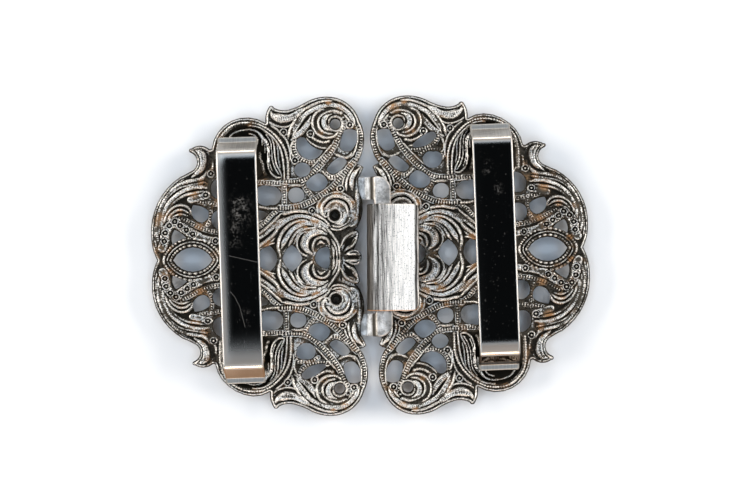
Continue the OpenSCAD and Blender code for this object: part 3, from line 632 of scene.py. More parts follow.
def closed_piece(name: str, sheet: Sheet, back: Array, front: Array, flip: bool,
                 marks: dict[str, Array],
                 front_marks: dict[str, Array] | None = None) -> bpy.types.Object:
    """A closed mesh from a sheet's back and front surface and the walls between them.

    Args:
        name: The piece's name.
        sheet: The cut sheet.
        back: Points of the surface towards the wearer, in metres.
        front: Points of the surface on the other side, in metres.
        flip: True where the drawing was mirrored, so that faces still point outwards.
        marks: A value between 0 and 1 for each point of the sheet, by attribute name.
        front_marks: The same for the front, where it differs from the back.
    Returns:
        The piece.
    """
    count = len(back)
    cells = sheet.cells
    edges = np.stack([cells, np.roll(cells, -1, 1)], -1).reshape(-1, 2)
    rim = edges[~np.isin(pair_keys(edges, count), pair_keys(edges[:, ::-1], count))]
    walls = np.stack([rim[:, 0] + count, rim[:, 1] + count, rim[:, 1], rim[:, 0]], 1)
    faces = np.concatenate([cells, cells[:, ::-1] + count, walls])
    if flip:
        faces = faces[:, ::-1]
    mesh = bpy.data.meshes.new(name)
    mesh.vertices.add(2 * count)
    mesh.vertices.foreach_set("co", np.concatenate([back, front]).astype(np.float32).ravel())
    mesh.loops.add(4 * len(faces))
    mesh.loops.foreach_set("vertex_index", faces.astype(np.int32).ravel())
    mesh.polygons.add(len(faces))
    mesh.polygons.foreach_set("loop_start", np.arange(0, 4 * len(faces), 4, dtype=np.int32))
    mesh.update(calc_edges=True)
    mesh.polygons.foreach_set("use_smooth", np.ones(len(faces), bool))
    for label, value in marks.items():
        layer = mesh.attributes.new(label, "FLOAT", "POINT")
        front_value = (front_marks or {}).get(label, value)
        layer.data.foreach_set("value", np.concatenate([value, front_value]).astype(np.float32))
    sharp = mesh.attributes.new("sharp_edge", "BOOLEAN", "EDGE")
    ends = np.empty(2 * len(mesh.edges), np.int32)
    mesh.edges.foreach_get("vertices", ends)
    ends = np.sort(ends.reshape(-1, 2), 1)
    rim = np.sort(rim, 1)
    rims = np.concatenate([rim, rim + count])
    sharp.data.foreach_set("value", np.isin(pair_keys(ends, 2 * count), pair_keys(rims, 2 * count)))
    mesh.validate()
    return linked_object(name, mesh)


def even_lines(low: float, high: float, step: float) -> Array:
    """Grid lines from low to high, evenly spaced by at most a step."""
    return np.linspace(low, high, int(math.ceil((high - low) / step)) + 1)


def edged_lines(low: float, high: float, step: float, fine: float = 0.07,
                rows: int = 5) -> Array:
    """Grid lines with a few finer ones at both ends, for a rounded edge.

    Args:
        low: First line.
        high: Last line.
        step: Spacing in the middle.
        fine: Spacing at the ends.
        rows: Number of fine steps at each end.
    Returns:
        The lines.
    """
    ends = np.arange(rows) * fine
    middle = even_lines(low + rows * fine, high - rows * fine, step)
    return np.concatenate([low + ends, middle, (high - ends)[::-1]])


def place(half: Half, x: Array, y: Array, z: Array) -> Array:
    """Points of a half in the row frame, in metres, from millimetres with +x outwards for it.

    The right half lies as drawn. The left half is turned by half a turn, hangs in the hook
    turned by a little more about its own middle, and lies a little outwards.

    Args:
        half: Which half.
        x: Outwards for the right half; for the left half its mirror image.
        y: Across.
        z: Towards the wearer.
    Returns:
        The points, one a row.
    """
    shift_x, shift_y = 0.2, 0.1
    if half is Half.LEFT:
        hang, middle, out, across = -1.2, 24.5, -0.3, 0.15
        x, y = turned(x + middle, y, hang)
        x, y = x - middle + out, y + across
    return np.stack([x + shift_x, y + shift_y, z], 1) * MM


@dataclass
class Part:
    """A part of the clasp, which builds its pieces and is then given a finish."""

    pieces: list[bpy.types.Object] = field(default_factory=list, init=False)

    def build(self) -> list[bpy.types.Object]:
        """Build the pieces and set them in their place."""
        return self.pieces

    def dress(self, finish: "Finish") -> None:
        """Give every piece the finish."""
        for piece in self.pieces:
            piece.data.materials.append(finish.material())


@dataclass
class Casting(Part):
    """One half's pierced plate, in two pieces that meet on the long axis.

    Its heights go from the flat front (front_z) through what counts as sunk, the ground of the
    back and the lands under the bar's feet up to the highest relief (top_z). Inside the corner
    unrimmed, next to the middle, the outline has no rim. The low quadrant is lower by the share
    low_inner up to low_from, which rises over low_over to low_outer. Strokes stand higher than
    in the table by the factor relief. How bright a place is worn is lowered by a share over a
    whole half and over the outer lobe, which is what lies past outer_from, and round the dome
    under the bar, where the lowering is painted shade.
    """

    half: Half
    bar_p: float
    bar_y: float
    step: float = 0.136
    span_p: Point = (0.4, 42.5)
    span_q: Point = (0.0, 31.5)
    front_z: float = 1.9
    sunk_z: float = 2.3
    ground_z: float = 2.72
    land_z: float = 2.98
    top_z: float = 3.58
    rim_w: float = 0.36
    rim_at: float = 0.40
    rim_rise: float = 0.72
    unrimmed: Point = (5.5, 25.0)
    dome_at: Point = (23.7, 20.2)
    dome_r: float = 6.0
    dome_drop: float = 1.9
    dome_wall: float = 0.6
    arch_drop: float = 0.36
    arch_soft: float = 0.7
    foot_half: float = 23.8
    foot_len: float = 1.3
    bar_w: float = 7.5
    low_inner: float = 0.018
    low_outer: float = 0.055
    low_from: float = 19.0
    low_over: float = 11.0
    dot_r: float = 0.27
    dot_land: float = 0.86
    dot_pit: float = 0.54
    outer_edge: float = 0.34
    hole_edge: float = 0.14
    front_edge: float = 0.3
    pitch: float = 0.52
    spread: float = 1.12
    slim: float = 0.4
    relief: float = 1.25
    dip_lift: float = 0.1
    ground_shine: float = 0.35
    outer_from: float = 26.0
    # Shares that darken the outer lobe, a whole half, and the plate round the dome under the bar
    # (painted shade).
    outer_darkening: float = 0.68
    dome_shade: float = 1.1
    half_darkening: float = 0.0

    @property
    def ball(self) -> float:
        """Radius of the ball that the dome is cut from: (r*r + drop*drop) / (2 drop)."""
        return (self.dome_r**2 + self.dome_drop**2) / (2 * self.dome_drop)

    def from_dome(self, points: Array) -> Array:
        """Distance of points from the dome's middle."""
        return np.hypot(*(points - self.dome_at).T)

    def is_up(self, quadrant: Quadrant) -> bool:
        """Whether a quadrant lies on the upper side of its half."""
        return (quadrant is Quadrant.HIGH) == (self.half is Half.LEFT)

    def widening(self, cut: Cut, width: float) -> float:
        """How much wider than in the table a stroke is cut."""
        return self.spread if cut in (Cut.RIB, Cut.LEAF) and width > self.slim else 1.0

    def drop(self, p: Array) -> Array:
        """Share by which the low quadrant is lower, rising outwards from low_inner to low_outer."""
        out = smoothstep((p - self.low_from) / self.low_over)
        return self.low_inner + (self.low_outer - self.low_inner) * out

    def region(self, quadrant: Quadrant) -> Region:
        """The plate's outline and gaps, with the ones on the long axis whole.

        Args:
            quadrant: Which quadrant's own gaps to use.
        Returns:
            The drawn area.
        """
        turn = np.linspace(0, 2 * math.pi, 28, endpoint=False)
        holes = [circle((p, q), r, turn) for p, q, _, r in EYES]
        gaps = GAPS | OWN_GAPS[quadrant]
        holes += [chain(start, rows)[:-1] for start, rows in gaps.values()]
        holes += [mirrored(chain(start, rows)) for start, rows in AXIS_GAPS.values()]
        return Region(mirrored(chain(OUTLINE_START, OUTLINE)), tuple(holes))

    def stroke_height(self, cut: Cut, gap: Array, along: Array, length: float,
                      width: float) -> Array:
        """Height of a stroke across and along it, from 0 to 1.

        A rib is a half circle across, tapered over its ends. A leaf is a flatter one with a
        groove along its middle. A lone row of beads is half balls at even places. In the other
        bands a narrow half-round rail runs at both sides of even rounded boxes, which are
        shorter in a milled band than in a beaded one.

        Args:
            cut: The stroke's kind.
            gap: Distance from its middle line.
            along: Length along it.
            length: Its whole length.
            width: Its width.
        Returns:
            The heights.
        """
        half = width / 2
        gap = gap / self.widening(cut, width)
        end = np.minimum(along, length - along)
        tip_w, tip_h, tip_len = 0.25, 0.4, 1.6
        taper = tip_w + (1 - tip_w) * smoothstep(end / (tip_len * width))
        swell = dome(gap / half / taper)
        falling = tip_h + (1 - tip_h) * taper
        if cut in (Cut.RIB, Cut.FIN, Cut.DIP):
            return swell**0.8 * falling
        if cut is Cut.LEAF:
            vein_w, vein_depth = 0.11, 0.16
            return swell**0.7 * falling * (1 - vein_depth * np.exp(-(gap / vein_w) ** 2))
        if cut is Cut.FLAT:
            soft = 0.16
            return smoothstep((half - gap) / soft)
        count = max(1, round(length / self.pitch))
        phase = (along / length * count) % 1 - 0.5
        if cut is Cut.ROW:
            largest = 0.31
            return dome(np.hypot(phase * length / count, gap) / min(half, largest))
        rail_at, rail_w, inner = half - 0.08, 0.11, half - 0.18
        rail = 0.50 * dome((rail_at - gap) / rail_w)
        wide = 0.36 if cut is Cut.MILL else 0.40
        bar = dome((np.abs(phase / wide) ** 2.4 + np.abs(gap / inner) ** 3) ** 0.5)
        return np.maximum(rail, bar * 1.75 - 0.75 * (gap < inner + 0.06))

    def back_height(self, sheet: Sheet, quadrant: Quadrant) -> tuple[Array, dict[str, Array]]:
        """Height of the plate's back: hollow domes, raised strokes, pits, rims and soft edges.

        Args:
            sheet: The cut quadrant.
            quadrant: Which one.
        Returns:
            The heights, in millimetres, and by name: how bright each point is worn, from 0 to 1,
            lowered over the outer lobe and a whole half and, as painted shade, round the dome under
            the bar; the length along its stroke and the distance from its middle; and how strongly
            the stroke is hatched.
        """
        points = sheet.points
        from_dome = self.from_dome(points)
        inner = self.ball - self.dome_wall
        hollow = self.ball - np.sqrt(np.clip(inner**2 - from_dome**2, 0, None))
        height = np.minimum(self.ground_z, np.where(from_dome < self.dome_r, hollow, self.ground_z))
        arch = loop_distance(points, smooth_line(np.array(ARCH, float), 0.5))[0]
        height -= (self.arch_drop * smoothstep(arch / self.arch_soft)
                   * (from_dome > self.dome_r - 1))
        room = self.top_z - self.ground_z
        rub_and_shade = np.full(len(points), self.ground_shine)
        run, side, hatched = np.zeros((3, len(points)))
        banded = np.zeros(len(points), bool)
        for cut, width, rise, text in STROKES + OWN_STROKES[quadrant]:
            line = smooth_line(np.array([pair.split(",") for pair in text.split()], float))
            reach = width / 2 * self.widening(cut, width)
            local = near_loop(points, line, reach + 0.05)
            gap, along, length = line_distance(points[local], line)
            on = gap < reach
            local = local[on]
            shape = self.stroke_height(cut, gap[on], along[on], length, width)
            if cut is Cut.DIP:
                sunk = self.ground_z - rise * shape + self.dip_lift
                height[local] = np.minimum(height[local], sunk)
                continue
            top = self.ground_z + min(rise * self.relief, room) * shape
            higher = top > height[local]
            height[local] = np.maximum(height[local], top)
            raised = local[higher]
            by_rise = np.clip((rise - 0.42) / 0.2, 0, 1)
            rub_and_shade[raised] = {Cut.FIN: 0.9, Cut.FLAT: 0.8}.get(cut, by_rise)
            run[raised] = along[on][higher]
            side[raised] = gap[on][higher]
            hatched[raised] = {Cut.LEAF: 1.0, Cut.RIB: 0.7}.get(cut, 0.0)
            banded[local] |= cut is Cut.MILL
        height = self.with_marquise_rims(points, height)
        height = self.with_pits(points, height)
        height = self.with_edges(sheet, height, banded)
        p = points[:, 0]
        # Darker over a whole half and over the outer lobe.
        rub_and_shade -= self.half_darkening + self.outer_darkening * smoothstep((p - self.outer_from) / 6)
        # Painted shade round the dome, under the bar.
        near_dome = smoothstep((self.dome_r + 2 - from_dome) / 2.5) * (p < self.outer_from)
        rub_and_shade -= self.dome_shade * near_dome
        marks = {"rub_and_shade": rub_and_shade, "run": run, "side": side, "hatched": hatched}
        return self.with_lands(points, height, quadrant), marks

    def with_marquise_rims(self, points: Array, height: Array) -> Array:
        """Two beaded rims round the marquise gap, at even distances from its edge, and a rail.

        Args:
            points: The sheet's points.
            height: Heights so far.
        Returns:
            The new heights.
        """
        loop = mirrored(chain(*AXIS_GAPS["marquise"], 40))
        from_p, to_q, middle_p, slimness = 27.5, 5.5, 34.2, 2.0
        near = np.flatnonzero((points[:, 0] > from_p) & (points[:, 1] < to_q))
        gap, foot = loop_distance(points[near], loop)
        turn = np.arctan2(foot[:, 1] * slimness, foot[:, 0] - middle_p)
        bead_rise, spacing = 0.6, 2.1
        for middle, width, count in ((0.42, 0.55, 30), (1.75, 0.62, 38)):
            phase = (turn / (2 * math.pi) * count + 0.5) % 1 - 0.5
            across = (-gap - middle) / (width / 2)
            beads = dome(np.hypot(across, phase * spacing)) * bead_rise
            height[near] = np.maximum(height[near], np.where(beads > 0, self.ground_z + beads, 0))
        rail_at, rail_half_w, rail_rise = 1.05, 0.16, 0.55
        rail = rail_rise * dome((-gap - rail_at) / rail_half_w)
        height[near] = np.maximum(height[near], self.ground_z + rail)
        return height

    def with_pits(self, points: Array, height: Array) -> Array:
        """A round land with a pit and a bead in it for each dot, and the sunk eyes.

        Args:
            points: The sheet's points.
            height: Heights so far.
        Returns:
            The new heights.
        """
        land_rise, pit_drop, bead_rise, soft = 0.42, 0.2, 0.66, 0.2
        eye_lip, eye_floor = 0.1, 0.12
        for dot in DOTS:
            gap = np.hypot(*(points - dot).T)
            land = self.ground_z + land_rise * smoothstep((self.dot_land - gap) / soft)
            height = np.where(gap < self.dot_land, land, height)
            pit = self.ground_z - pit_drop + bead_rise * dome(gap / self.dot_r)
            height = np.where(gap < self.dot_pit, pit, height)
        for p, q, radius, _ in EYES:
            inside = radius + eye_lip - np.hypot(*(points - (p, q)).T)
            sunk = height - (height - self.front_z - eye_floor) * smoothstep(inside / soft)
            height = np.where(inside > 0, np.minimum(height, sunk), height)
        return height

    def with_edges(self, sheet: Sheet, height: Array, banded: Array) -> Array:
        """A half-round rim inside the outline with a groove behind it, and soft edges.

        Args:
            sheet: The cut quadrant.
            height: Heights so far.
            banded: Where a milled band runs along the outline in the rim's place.
        Returns:
            The new heights.
        """
        outer, hole = sheet.outer, sheet.hole
        p, q = sheet.points.T
        rim_foot, groove_w = 0.12, 0.13
        # The rim is worn lower in places.
        worn = 0.72 + 0.28 * np.sin(0.9 * p + 1.7 * q) * np.sin(1.3 * p - 0.8 * q)
        across = (outer - self.rim_at) / (self.rim_w / 2)
        rim = self.ground_z - rim_foot + self.rim_rise * worn * dome(across)
        inside = self.rim_at + self.rim_w / 2
        rimmed = ~banded & ~(sheet.points < self.unrimmed).all(1)
        height = np.where((outer < inside) & rimmed, rim, height)
        groove = (outer >= inside) & (outer < inside + groove_w) & rimmed
        height = np.where(groove, np.minimum(height, self.ground_z), height)
        return height - edge_fall(outer, self.outer_edge) - edge_fall(hole, self.hole_edge)

    def with_lands(self, points: Array, height: Array, quadrant: Quadrant) -> Array:
        """Flat lands under the bar's feet, a little smaller than a foot.

        Args:
            points: The sheet's points.
            height: Heights so far.
            quadrant: Which quadrant.
        Returns:
            The new heights.
        """
        end = self.foot_half + (self.bar_y if self.is_up(quadrant) else -self.bar_y)
        start = end - self.foot_len
        q = points[:, 1] * (1 if quadrant is Quadrant.HIGH else 1 - self.drop(points[:, 0]))
        past = np.abs(points[:, 0] - self.bar_p) - self.bar_w / 2
        room, behind, inset, end_inset = 0.2, 1.2, 0.3, 0.25
        under = (past < room) & (q > start - behind) & (q < end + room)
        land = (past < -inset) & (q > start - inset) & (q < end - end_inset)
        height = np.where(under, np.minimum(height, self.land_z), height)
        return np.where(land, self.land_z, height)

    def front_height(self, sheet: Sheet, back: Array) -> Array:
        """Height of the front: domes, and a soft echo of the raised work between them.

        Args:
            sheet: The cut quadrant.
            back: Heights of the back.
        Returns:
            The heights, in millimetres.
        """
        from_dome = self.from_dome(sheet.points)
        bulge = self.ball - np.sqrt(np.clip(self.ball**2 - from_dome**2, 0, None))
        edge = np.minimum(sheet.outer, sheet.hole)
        share, highest = 0.45, 0.6
        echo = share * np.clip(sheet.blurred(back, 1) - self.ground_z, 0, highest)
        soft = edge_fall(edge, self.front_edge)
        flat = self.front_z - echo * smoothstep(edge / self.front_edge) + soft
        return np.where(from_dome < self.dome_r, np.minimum(flat, bulge + soft), flat)

    def wear_marks(self, sheet: Sheet, back: Array) -> dict[str, Array]:
        """Where the back is rubbed, dark, sunk or coppery.

        Ridge grows with the height above the mean close round a point, and depth with the
        height below the mean further round it, with more of it along the cut edges.

        Args:
            sheet: The cut quadrant.
            back: Heights of the back.
        Returns:
            A value from 0 to 1 for each point, by name.
        """
        close, wide = 3, 9
        ridge_h, depth_h, level_h, dark_w, dark_rim_w = 0.42, 0.6, 0.36, 0.13, 0.22
        ridge = (back - sheet.blurred(back, close)) / ridge_h
        depth = (sheet.blurred(back, wide) - back) / depth_h
        dark_edge = np.where((sheet.points < self.unrimmed).all(1), dark_w, dark_rim_w)
        at_edge, at_gap = 0.35 * (sheet.outer < dark_edge), 0.45 * (sheet.hole < dark_w)
        return {"ridge": np.clip(0.5 + ridge, 0, 1),
                "depth": np.clip(depth + 0.30 + at_edge + at_gap, 0, 1),
                # Below the sunk height the finish darkens: patina, and painted shade in the dome
                # hollow and on the eyes' floors.
                "level": smoothstep((back - self.sunk_z) / level_h),
                "copper": self.copper_share(sheet.points)}

    def front_marks(self, sheet: Sheet, marks: dict[str, Array]) -> dict[str, Array]:
        """The marks that differ on the front, where the domes are worn smooth.

        Args:
            sheet: The cut quadrant.
            marks: The marks of the back.
        Returns:
            A value for each point, by name.
        """
        boss = smoothstep((self.dome_r - self.from_dome(sheet.points)) / 0.5)
        smooth = {"ridge": 0.62, "depth": 0.15, "level": 1.0, "rub_and_shade": 0.7, "hatched": 0.0}
        return {label: marks[label] + (value - marks[label]) * boss
                for label, value in smooth.items()}

    def copper_share(self, points: Array) -> Array:
        """How near each point is to a place rubbed through to copper.

        Args:
            points: The sheet's points.
        Returns:
            1 at such a place's middle, falling to 0 at its radius.
        """
        steep = 1.3
        share = np.zeros(len(points))
        for p, q, radius in COPPER:
            gap = np.hypot(points[:, 0] - p, points[:, 1] - q)
            share = np.maximum(share, smoothstep(steep - steep * gap / radius))
        return share

    def build(self) -> list[bpy.types.Object]:
        """Build both quadrants and set them in their place.

        Returns:
            The two pieces.
        """
        ps = even_lines(*self.span_p, self.step)
        qs = even_lines(*self.span_q, self.step)
        for quadrant in Quadrant:
            sheet = Sheet.cut(ps, qs, self.region(quadrant), axis_row=True)
            back, marks = self.back_height(sheet, quadrant)
            front = self.front_height(sheet, back)
            marks |= self.wear_marks(sheet, back)
            p, q = sheet.points.T
            if quadrant is Quadrant.LOW:
                q = q * (1 - self.drop(p))
            up = self.is_up(quadrant)
            x = p if self.half is Half.RIGHT else -p
            y = q if up else -q
            flip = (self.half is Half.LEFT) == up
            name = f"{self.half.value}_plate_{quadrant.value}"
            piece = closed_piece(name, sheet, place(self.half, x, y, back),
                                 place(self.half, x, y, front), flip, marks,
                                 self.front_marks(sheet, marks))
            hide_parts(f"{self.half.value}_plate")
            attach(piece, "root")
            self.pieces.append(piece)
        return self.pieces


@dataclass(frozen=True)
class Path:
    """A line in a plane that a sheet is bent along, with round bends."""

    points: Array

    @classmethod
    def bent(cls, corners: list[tuple[float, float, float]], step: float = 0.08) -> "Path":
        """A path through corners, each rounded by its own radius.

        The round stretch starts and ends at radius times tan of half the turn from the corner.

        Args:
            corners: First coordinate, second coordinate and radius of each corner.
            step: Wanted spacing of the samples.
        Returns:
            The path.
        """
        spots = [np.array(c[:2]) for c in corners]
        parts = [spots[0][None]]
        for before, here, after, corner in zip(spots[:-2], spots[1:-1], spots[2:], corners[1:-1]):
            a = (before - here) / np.linalg.norm(before - here)
            b = (after - here) / np.linalg.norm(after - here)
            half = math.acos(float(np.clip(a @ b, -1, 1))) / 2
            reach = corner[2] / math.tan(half)
            mid = here + (a + b) / np.linalg.norm(a + b) * corner[2] / math.sin(half)
            start, end = here + a * reach, here + b * reach
            through = mid + (here - mid) / np.linalg.norm(here - mid) * corner[2]
            parts += [start[None], arc_points(start, through, end, 24)]
        parts.append(spots[-1][None])
        rough = np.vstack(parts)
        run = run_lengths(rough)
        keep = np.concatenate([[True], np.diff(run) > 1e-9])
        rough, run = rough[keep], run[keep]
        at = np.linspace(0, run[-1], int(run[-1] / step) + 1)
        return cls(np.stack([np.interp(at, run, rough[:, k]) for k in (0, 1)], 1))

    @property
    def run(self) -> Array:
        """Length along the path at each sample."""
        return run_lengths(self.points)

    def at(self, s: Array) -> tuple[Array, Array]:
        """Points of the path and its unit normals, to the left of its direction.

        Args:
            s: Lengths along the path.
        Returns:
            The points and the normals.
        """
        run = self.run
        tangent = np.gradient(self.points, run, axis=0)
        tangent /= np.linalg.norm(tangent, axis=1)[:, None]
        point = np.stack([np.interp(s, run, self.points[:, k]) for k in (0, 1)], 1)
        direction = np.stack([np.interp(s, run, tangent[:, k]) for k in (0, 1)], 1)
        direction /= np.linalg.norm(direction, axis=1)[:, None]
        return point, np.stack([-direction[:, 1], direction[:, 0]], 1)


def bent_sides(path: Path, sheet: Sheet, thick: float,
               radius: float) -> tuple[Array, Array, Array]:
    """A strip bent along a path, as points in the path's plane.

    The skins lie half the thickness off the middle surface, less where the cut edge is round.

    Args:
        path: The path that the strip's first coordinate follows.
        sheet: The cut strip.
        thick: Its thickness.
        radius: Radius of its edge.
    Returns:
        The middle, the skin to the path's left and the skin to its right.
    """
    thinnest = 0.03
    middle, normal = path.at(sheet.points[:, 0])
    fall = edge_fall(sheet.outer, radius) * min(1.0, (thick / 2 - thinnest) / radius)
    skin = normal * (thick / 2 - fall)[:, None]
    return middle, middle + skin, middle - skin


def rounded_box(x0: float, x1: float, y0: float, y1: float, r: float,
                corners: tuple[bool, bool, bool, bool] = (True,) * 4) -> Array:
    """A rectangle as a loop, with the named corners rounded.

    Args:
        x0: Low side along the first axis.
        x1: High side along the first axis.
        y0: Low side along the second axis.
        y1: High side along the second axis.
        r: Radius of the corners.
        corners: Whether each corner is round: low-low, high-low, high-high, low-high.
    Returns:
        The loop's points.
    """
    spots = ((x0, y0, 1, 1, 180), (x1, y0, -1, 1, 270), (x1, y1, -1, -1, 0), (x0, y1, 1, -1, 90))
    parts = []
    for (x, y, sx, sy, first), is_round in zip(spots, corners):
        if not is_round:
            parts.append(np.array([[x, y]]))
            continue
        turn = np.radians(first + np.linspace(0, 90, 9))
        parts.append(circle((x + sx * r, y + sy * r), r, turn))
    return np.vstack(parts)


@dataclass
class StrapBar(Part):
    """Strip bent up from two feet, which bridges the back of a plate.

    The bridge is bowed down at both ends over a length (bow_len, low_bow_len) and its inner
    side is rounded off over crown_w. A haze is how far from a shoulder the reflection is dull,
    and over what length that fades. A smudge is a side, a place along the bar and a radius.
    """

    half: Half
    middle_p: float
    middle_y: float
    width: float = 7.7
    thick: float = 0.6
    foot_half: float = 23.8
    foot_len: float = 1.3
    riser_len: float = 1.6
    low_riser_len: float = 2.15
    foot_z: float = 3.1
    bridge_z: float = 8.0
    bow_len: float = 3.4
    bow_drop: float = 0.40
    low_bow_len: float = 8.5
    low_bow_drop: float = 0.45
    crown_w: float = 2.3
    crown_drop: float = 0.15
    haze: float = 1.0
    low_haze: tuple[float, float] = (8.5, 9.5)
    high_haze: tuple[float, float] = (2.0, 1.9)
    low_satin: float = 1.0
    turn: float = 1.0
    smudges: tuple[tuple[float, float, float], ...] = (
        (0.4, 9.6, 3.4), (-0.6, 4.8, 2.2), (0.8, -11.0, 1.6))

    def path(self) -> Path:
        """The middle of the strip from its lower foot's end to its upper foot's end.

        The bridge is bowed at both ends by a share of a parabola, and the bends follow it.

        Returns:
            The path.
        """
        foot = self.foot_z + self.thick / 2
        bridge = self.bridge_z + self.thick / 2
        knee = self.foot_half - self.foot_len
        ends = ((1, self.riser_len, self.bow_len, self.bow_drop),
                (-1, self.low_riser_len, self.low_bow_len, self.low_bow_drop))
        top, low = [[(sign * self.foot_half, foot, 0.0), (sign * knee, foot, 0.55),
                     (sign * (knee - riser), bridge, 0.9)] for sign, riser, _, _ in ends]
        points = Path.bent(low + top[::-1]).points
        high = smoothstep((points[:, 1] - foot) / (bridge - foot))
        for sign, riser, length, drop in ends:
            out = np.clip((sign * points[:, 0] - knee + riser + length) / length, 0, 1)
            points[:, 1] -= drop * out**2 * high
        return Path(points)

    def build(self) -> list[bpy.types.Object]:
        """Bend the strip along its path.

        Returns:
            The piece.
        """
        path = self.path()
        length = float(path.run[-1])
        half = self.width / 2
        sheet = Sheet.cut(edged_lines(0, length, 0.22), edged_lines(-half, half, 0.25, 0.06, 8),
                          Region(rounded_box(0, length, -half, half, 0.35)))
        across = sheet.points[:, 1]
        middle, *skins = bent_sides(path, sheet, self.thick, 0.32)
        sign = 1 if self.half is Half.RIGHT else -1
        knee = self.foot_half - self.foot_len
        flat = 1 - smoothstep((np.abs(middle[:, 0]) - knee + 2.5) / 1.2)
        crown = self.crown_drop * np.clip(1 - (across + half) / self.crown_w, 0, 1) ** 2 * flat
        faces = []
        for skin in skins:
            x, y = turned(across, skin[:, 0], self.turn)
            faces.append(place(self.half, sign * self.middle_p + x, y + self.middle_y,
                               skin[:, 1] - crown))
        piece = closed_piece(f"{self.half.value}_bar", sheet, *faces, True,
                             self.marks(middle[:, 0], across))
        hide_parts(f"{self.half.value}_strap_bar")
        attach(piece, "root")
        self.pieces.append(piece)
        return self.pieces

    def marks(self, y: Array, across: Array) -> dict[str, Array]:
        """Where the feet, haze, painted warm reflection and shade, smudges and pale edges lie.

        Each mark is an eased step past a shoulder, a knee or an edge, and what it is divided
        by is the length in millimetres over which it fades.

        Args:
            y: Place of each point along the bar, upwards.
            across: Its place across the strip.
        Returns:
            A value from 0 to 1 for each point, by name.
        """
        half = self.width / 2
        knee = self.foot_half - self.foot_len
        past_high, past_low = y - (knee - self.riser_len), -y - (knee - self.low_riser_len)
        past_knee = -y - knee
        foot = smoothstep((past_high + 0.35) / 0.4) + smoothstep(past_low / 0.3) * self.low_satin
        foot = np.clip(foot + smoothstep((past_knee + 0.3) / 0.3), 0, 1)
        ends = [smoothstep((past + far) / soft) for past, (far, soft) in
                ((past_low, self.low_haze), (past_high, self.high_haze))]
        band = smoothstep(1.0 - (across + half) / 2.6) * (0.75 + 0.25 * smoothstep((6 - y) / 14))
        haze = np.maximum(np.maximum(*ends), band * self.haze)
        haze = haze * smoothstep((across + half - 0.2) / 0.2)
        haze = haze * (1 - smoothstep((np.maximum(past_high, past_low) + 0.5) / 0.3))
        # Painted warm reflection on the low riser, and painted shade on it where it has no satin.
        riser = smoothstep((past_low + 0.05) / 0.25) * (1 - smoothstep((past_knee + 0.2) / 0.3))
        darker = 0.7 + 0.3 * smoothstep((past_low - 1.3) / 0.4)
        smudge = np.zeros(len(y))
        for side, up, radius in self.smudges:
            gap = np.hypot(across - side, (y - up) * 0.7)
            smudge = np.maximum(smudge, smoothstep(1 - gap / radius))
        return {"foot": foot, "haze": haze, "warm": riser, "smudge": smudge,
                "shade": riser * (1 - self.low_satin) * darker,
                "edge": smoothstep((0.42 - half + np.abs(across)) / 0.12)}


@dataclass
class CatchLoop(Part):
    """Flat loop on the left half: two arms that step up to a crossbar.

    The table of painted light gives the distance past the upper crease and how bright the
    strip is painted there: bright on the tab, a dark line in the crease, a highlight just past
    it, and a fall to darker towards the crossbar.
    """

    half_y: float = 15.4
    arm_w: float = 4.4
    cross_w: float = 3.2
    cross_x: float = 4.0
    corner_r: float = 2.6
    thick: float = 0.8
    tab_x: float = -5.45
    edge_x: float = -1.45
    crease_x: float = 0.55
    lean: float = 0.45
    tab_z: float = 1.0
    cross_z: float = 4.8
    shift_x: float = 0.3
    shift_y: float = 0.1
    # Painted light along the arms, by distance past the upper crease.
    rub_and_light: tuple[Point, ...] = (
        (-3.0, 1.0), (-1.8, 1.0), (-0.95, 0.95), (-0.7, 0.5), (-0.48, 0.0), (-0.15, 0.05),
        (0.1, 0.35), (0.35, 0.75), (0.9, 0.95), (1.5, 0.7), (2.2, 0.38), (3.3, 0.25))

    def build(self) -> list[bpy.types.Object]:
        """Cut the loop from a flat sheet and bend it at the two creases of its arms.

        Returns:
            The piece.
        """
        low, high = self.tab_z + self.thick / 2, self.cross_z + self.thick / 2
        crease = self.crease_x + self.lean
        path = Path.bent([(self.tab_x, low, 0), (self.edge_x + self.lean + 0.05, low, 0.45),
                          (crease, high, 0.6), (self.cross_x, high, 0)])
        length = float(path.run[-1])
        near = length - self.cross_w
        outer = rounded_box(0, length, -self.half_y, self.half_y, self.corner_r,
                            (False, True, True, False))
        inner_y = self.half_y - self.arm_w
        slot = rounded_box(-3, near, -inner_y, inner_y, 0.5, (False, True, True, False))
        fine = np.arange(-2, 5) * 0.07
        ys = np.unique(np.concatenate([edged_lines(-self.half_y, self.half_y, 0.2),
                                       inner_y + fine, -inner_y - fine]))
        sheet = Sheet.cut(edged_lines(0, length, 0.16), ys, Region(outer, (slot,)))
        sheet.outer = np.minimum(sheet.outer, sheet.hole)
        across = sheet.points[:, 1]
        middle, *skins = bent_sides(path, sheet, self.thick, 0.3)
        faces = [place(Half.LEFT, skin[:, 0] + self.shift_x, across + self.shift_y, skin[:, 1])
                 for skin in skins]
        # Painted highlight on the tab and, stronger, on the rising stretch below the crease.
        past = middle[:, 0] - self.crease_x - self.lean
        slope_light = (0.6 + 0.4 * smoothstep((past + 2.2) / 0.4)) * (1 - smoothstep((past + 0.7) / 0.3))
        piece = closed_piece("catch_loop_strip", sheet, *faces, False,
                             {"rub_and_light": np.interp(past, *zip(*self.rub_and_light)), "slope_light": slope_light})
        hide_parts("catch_loop")
        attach(piece, "root")
        self.pieces.append(piece)
        return self.pieces


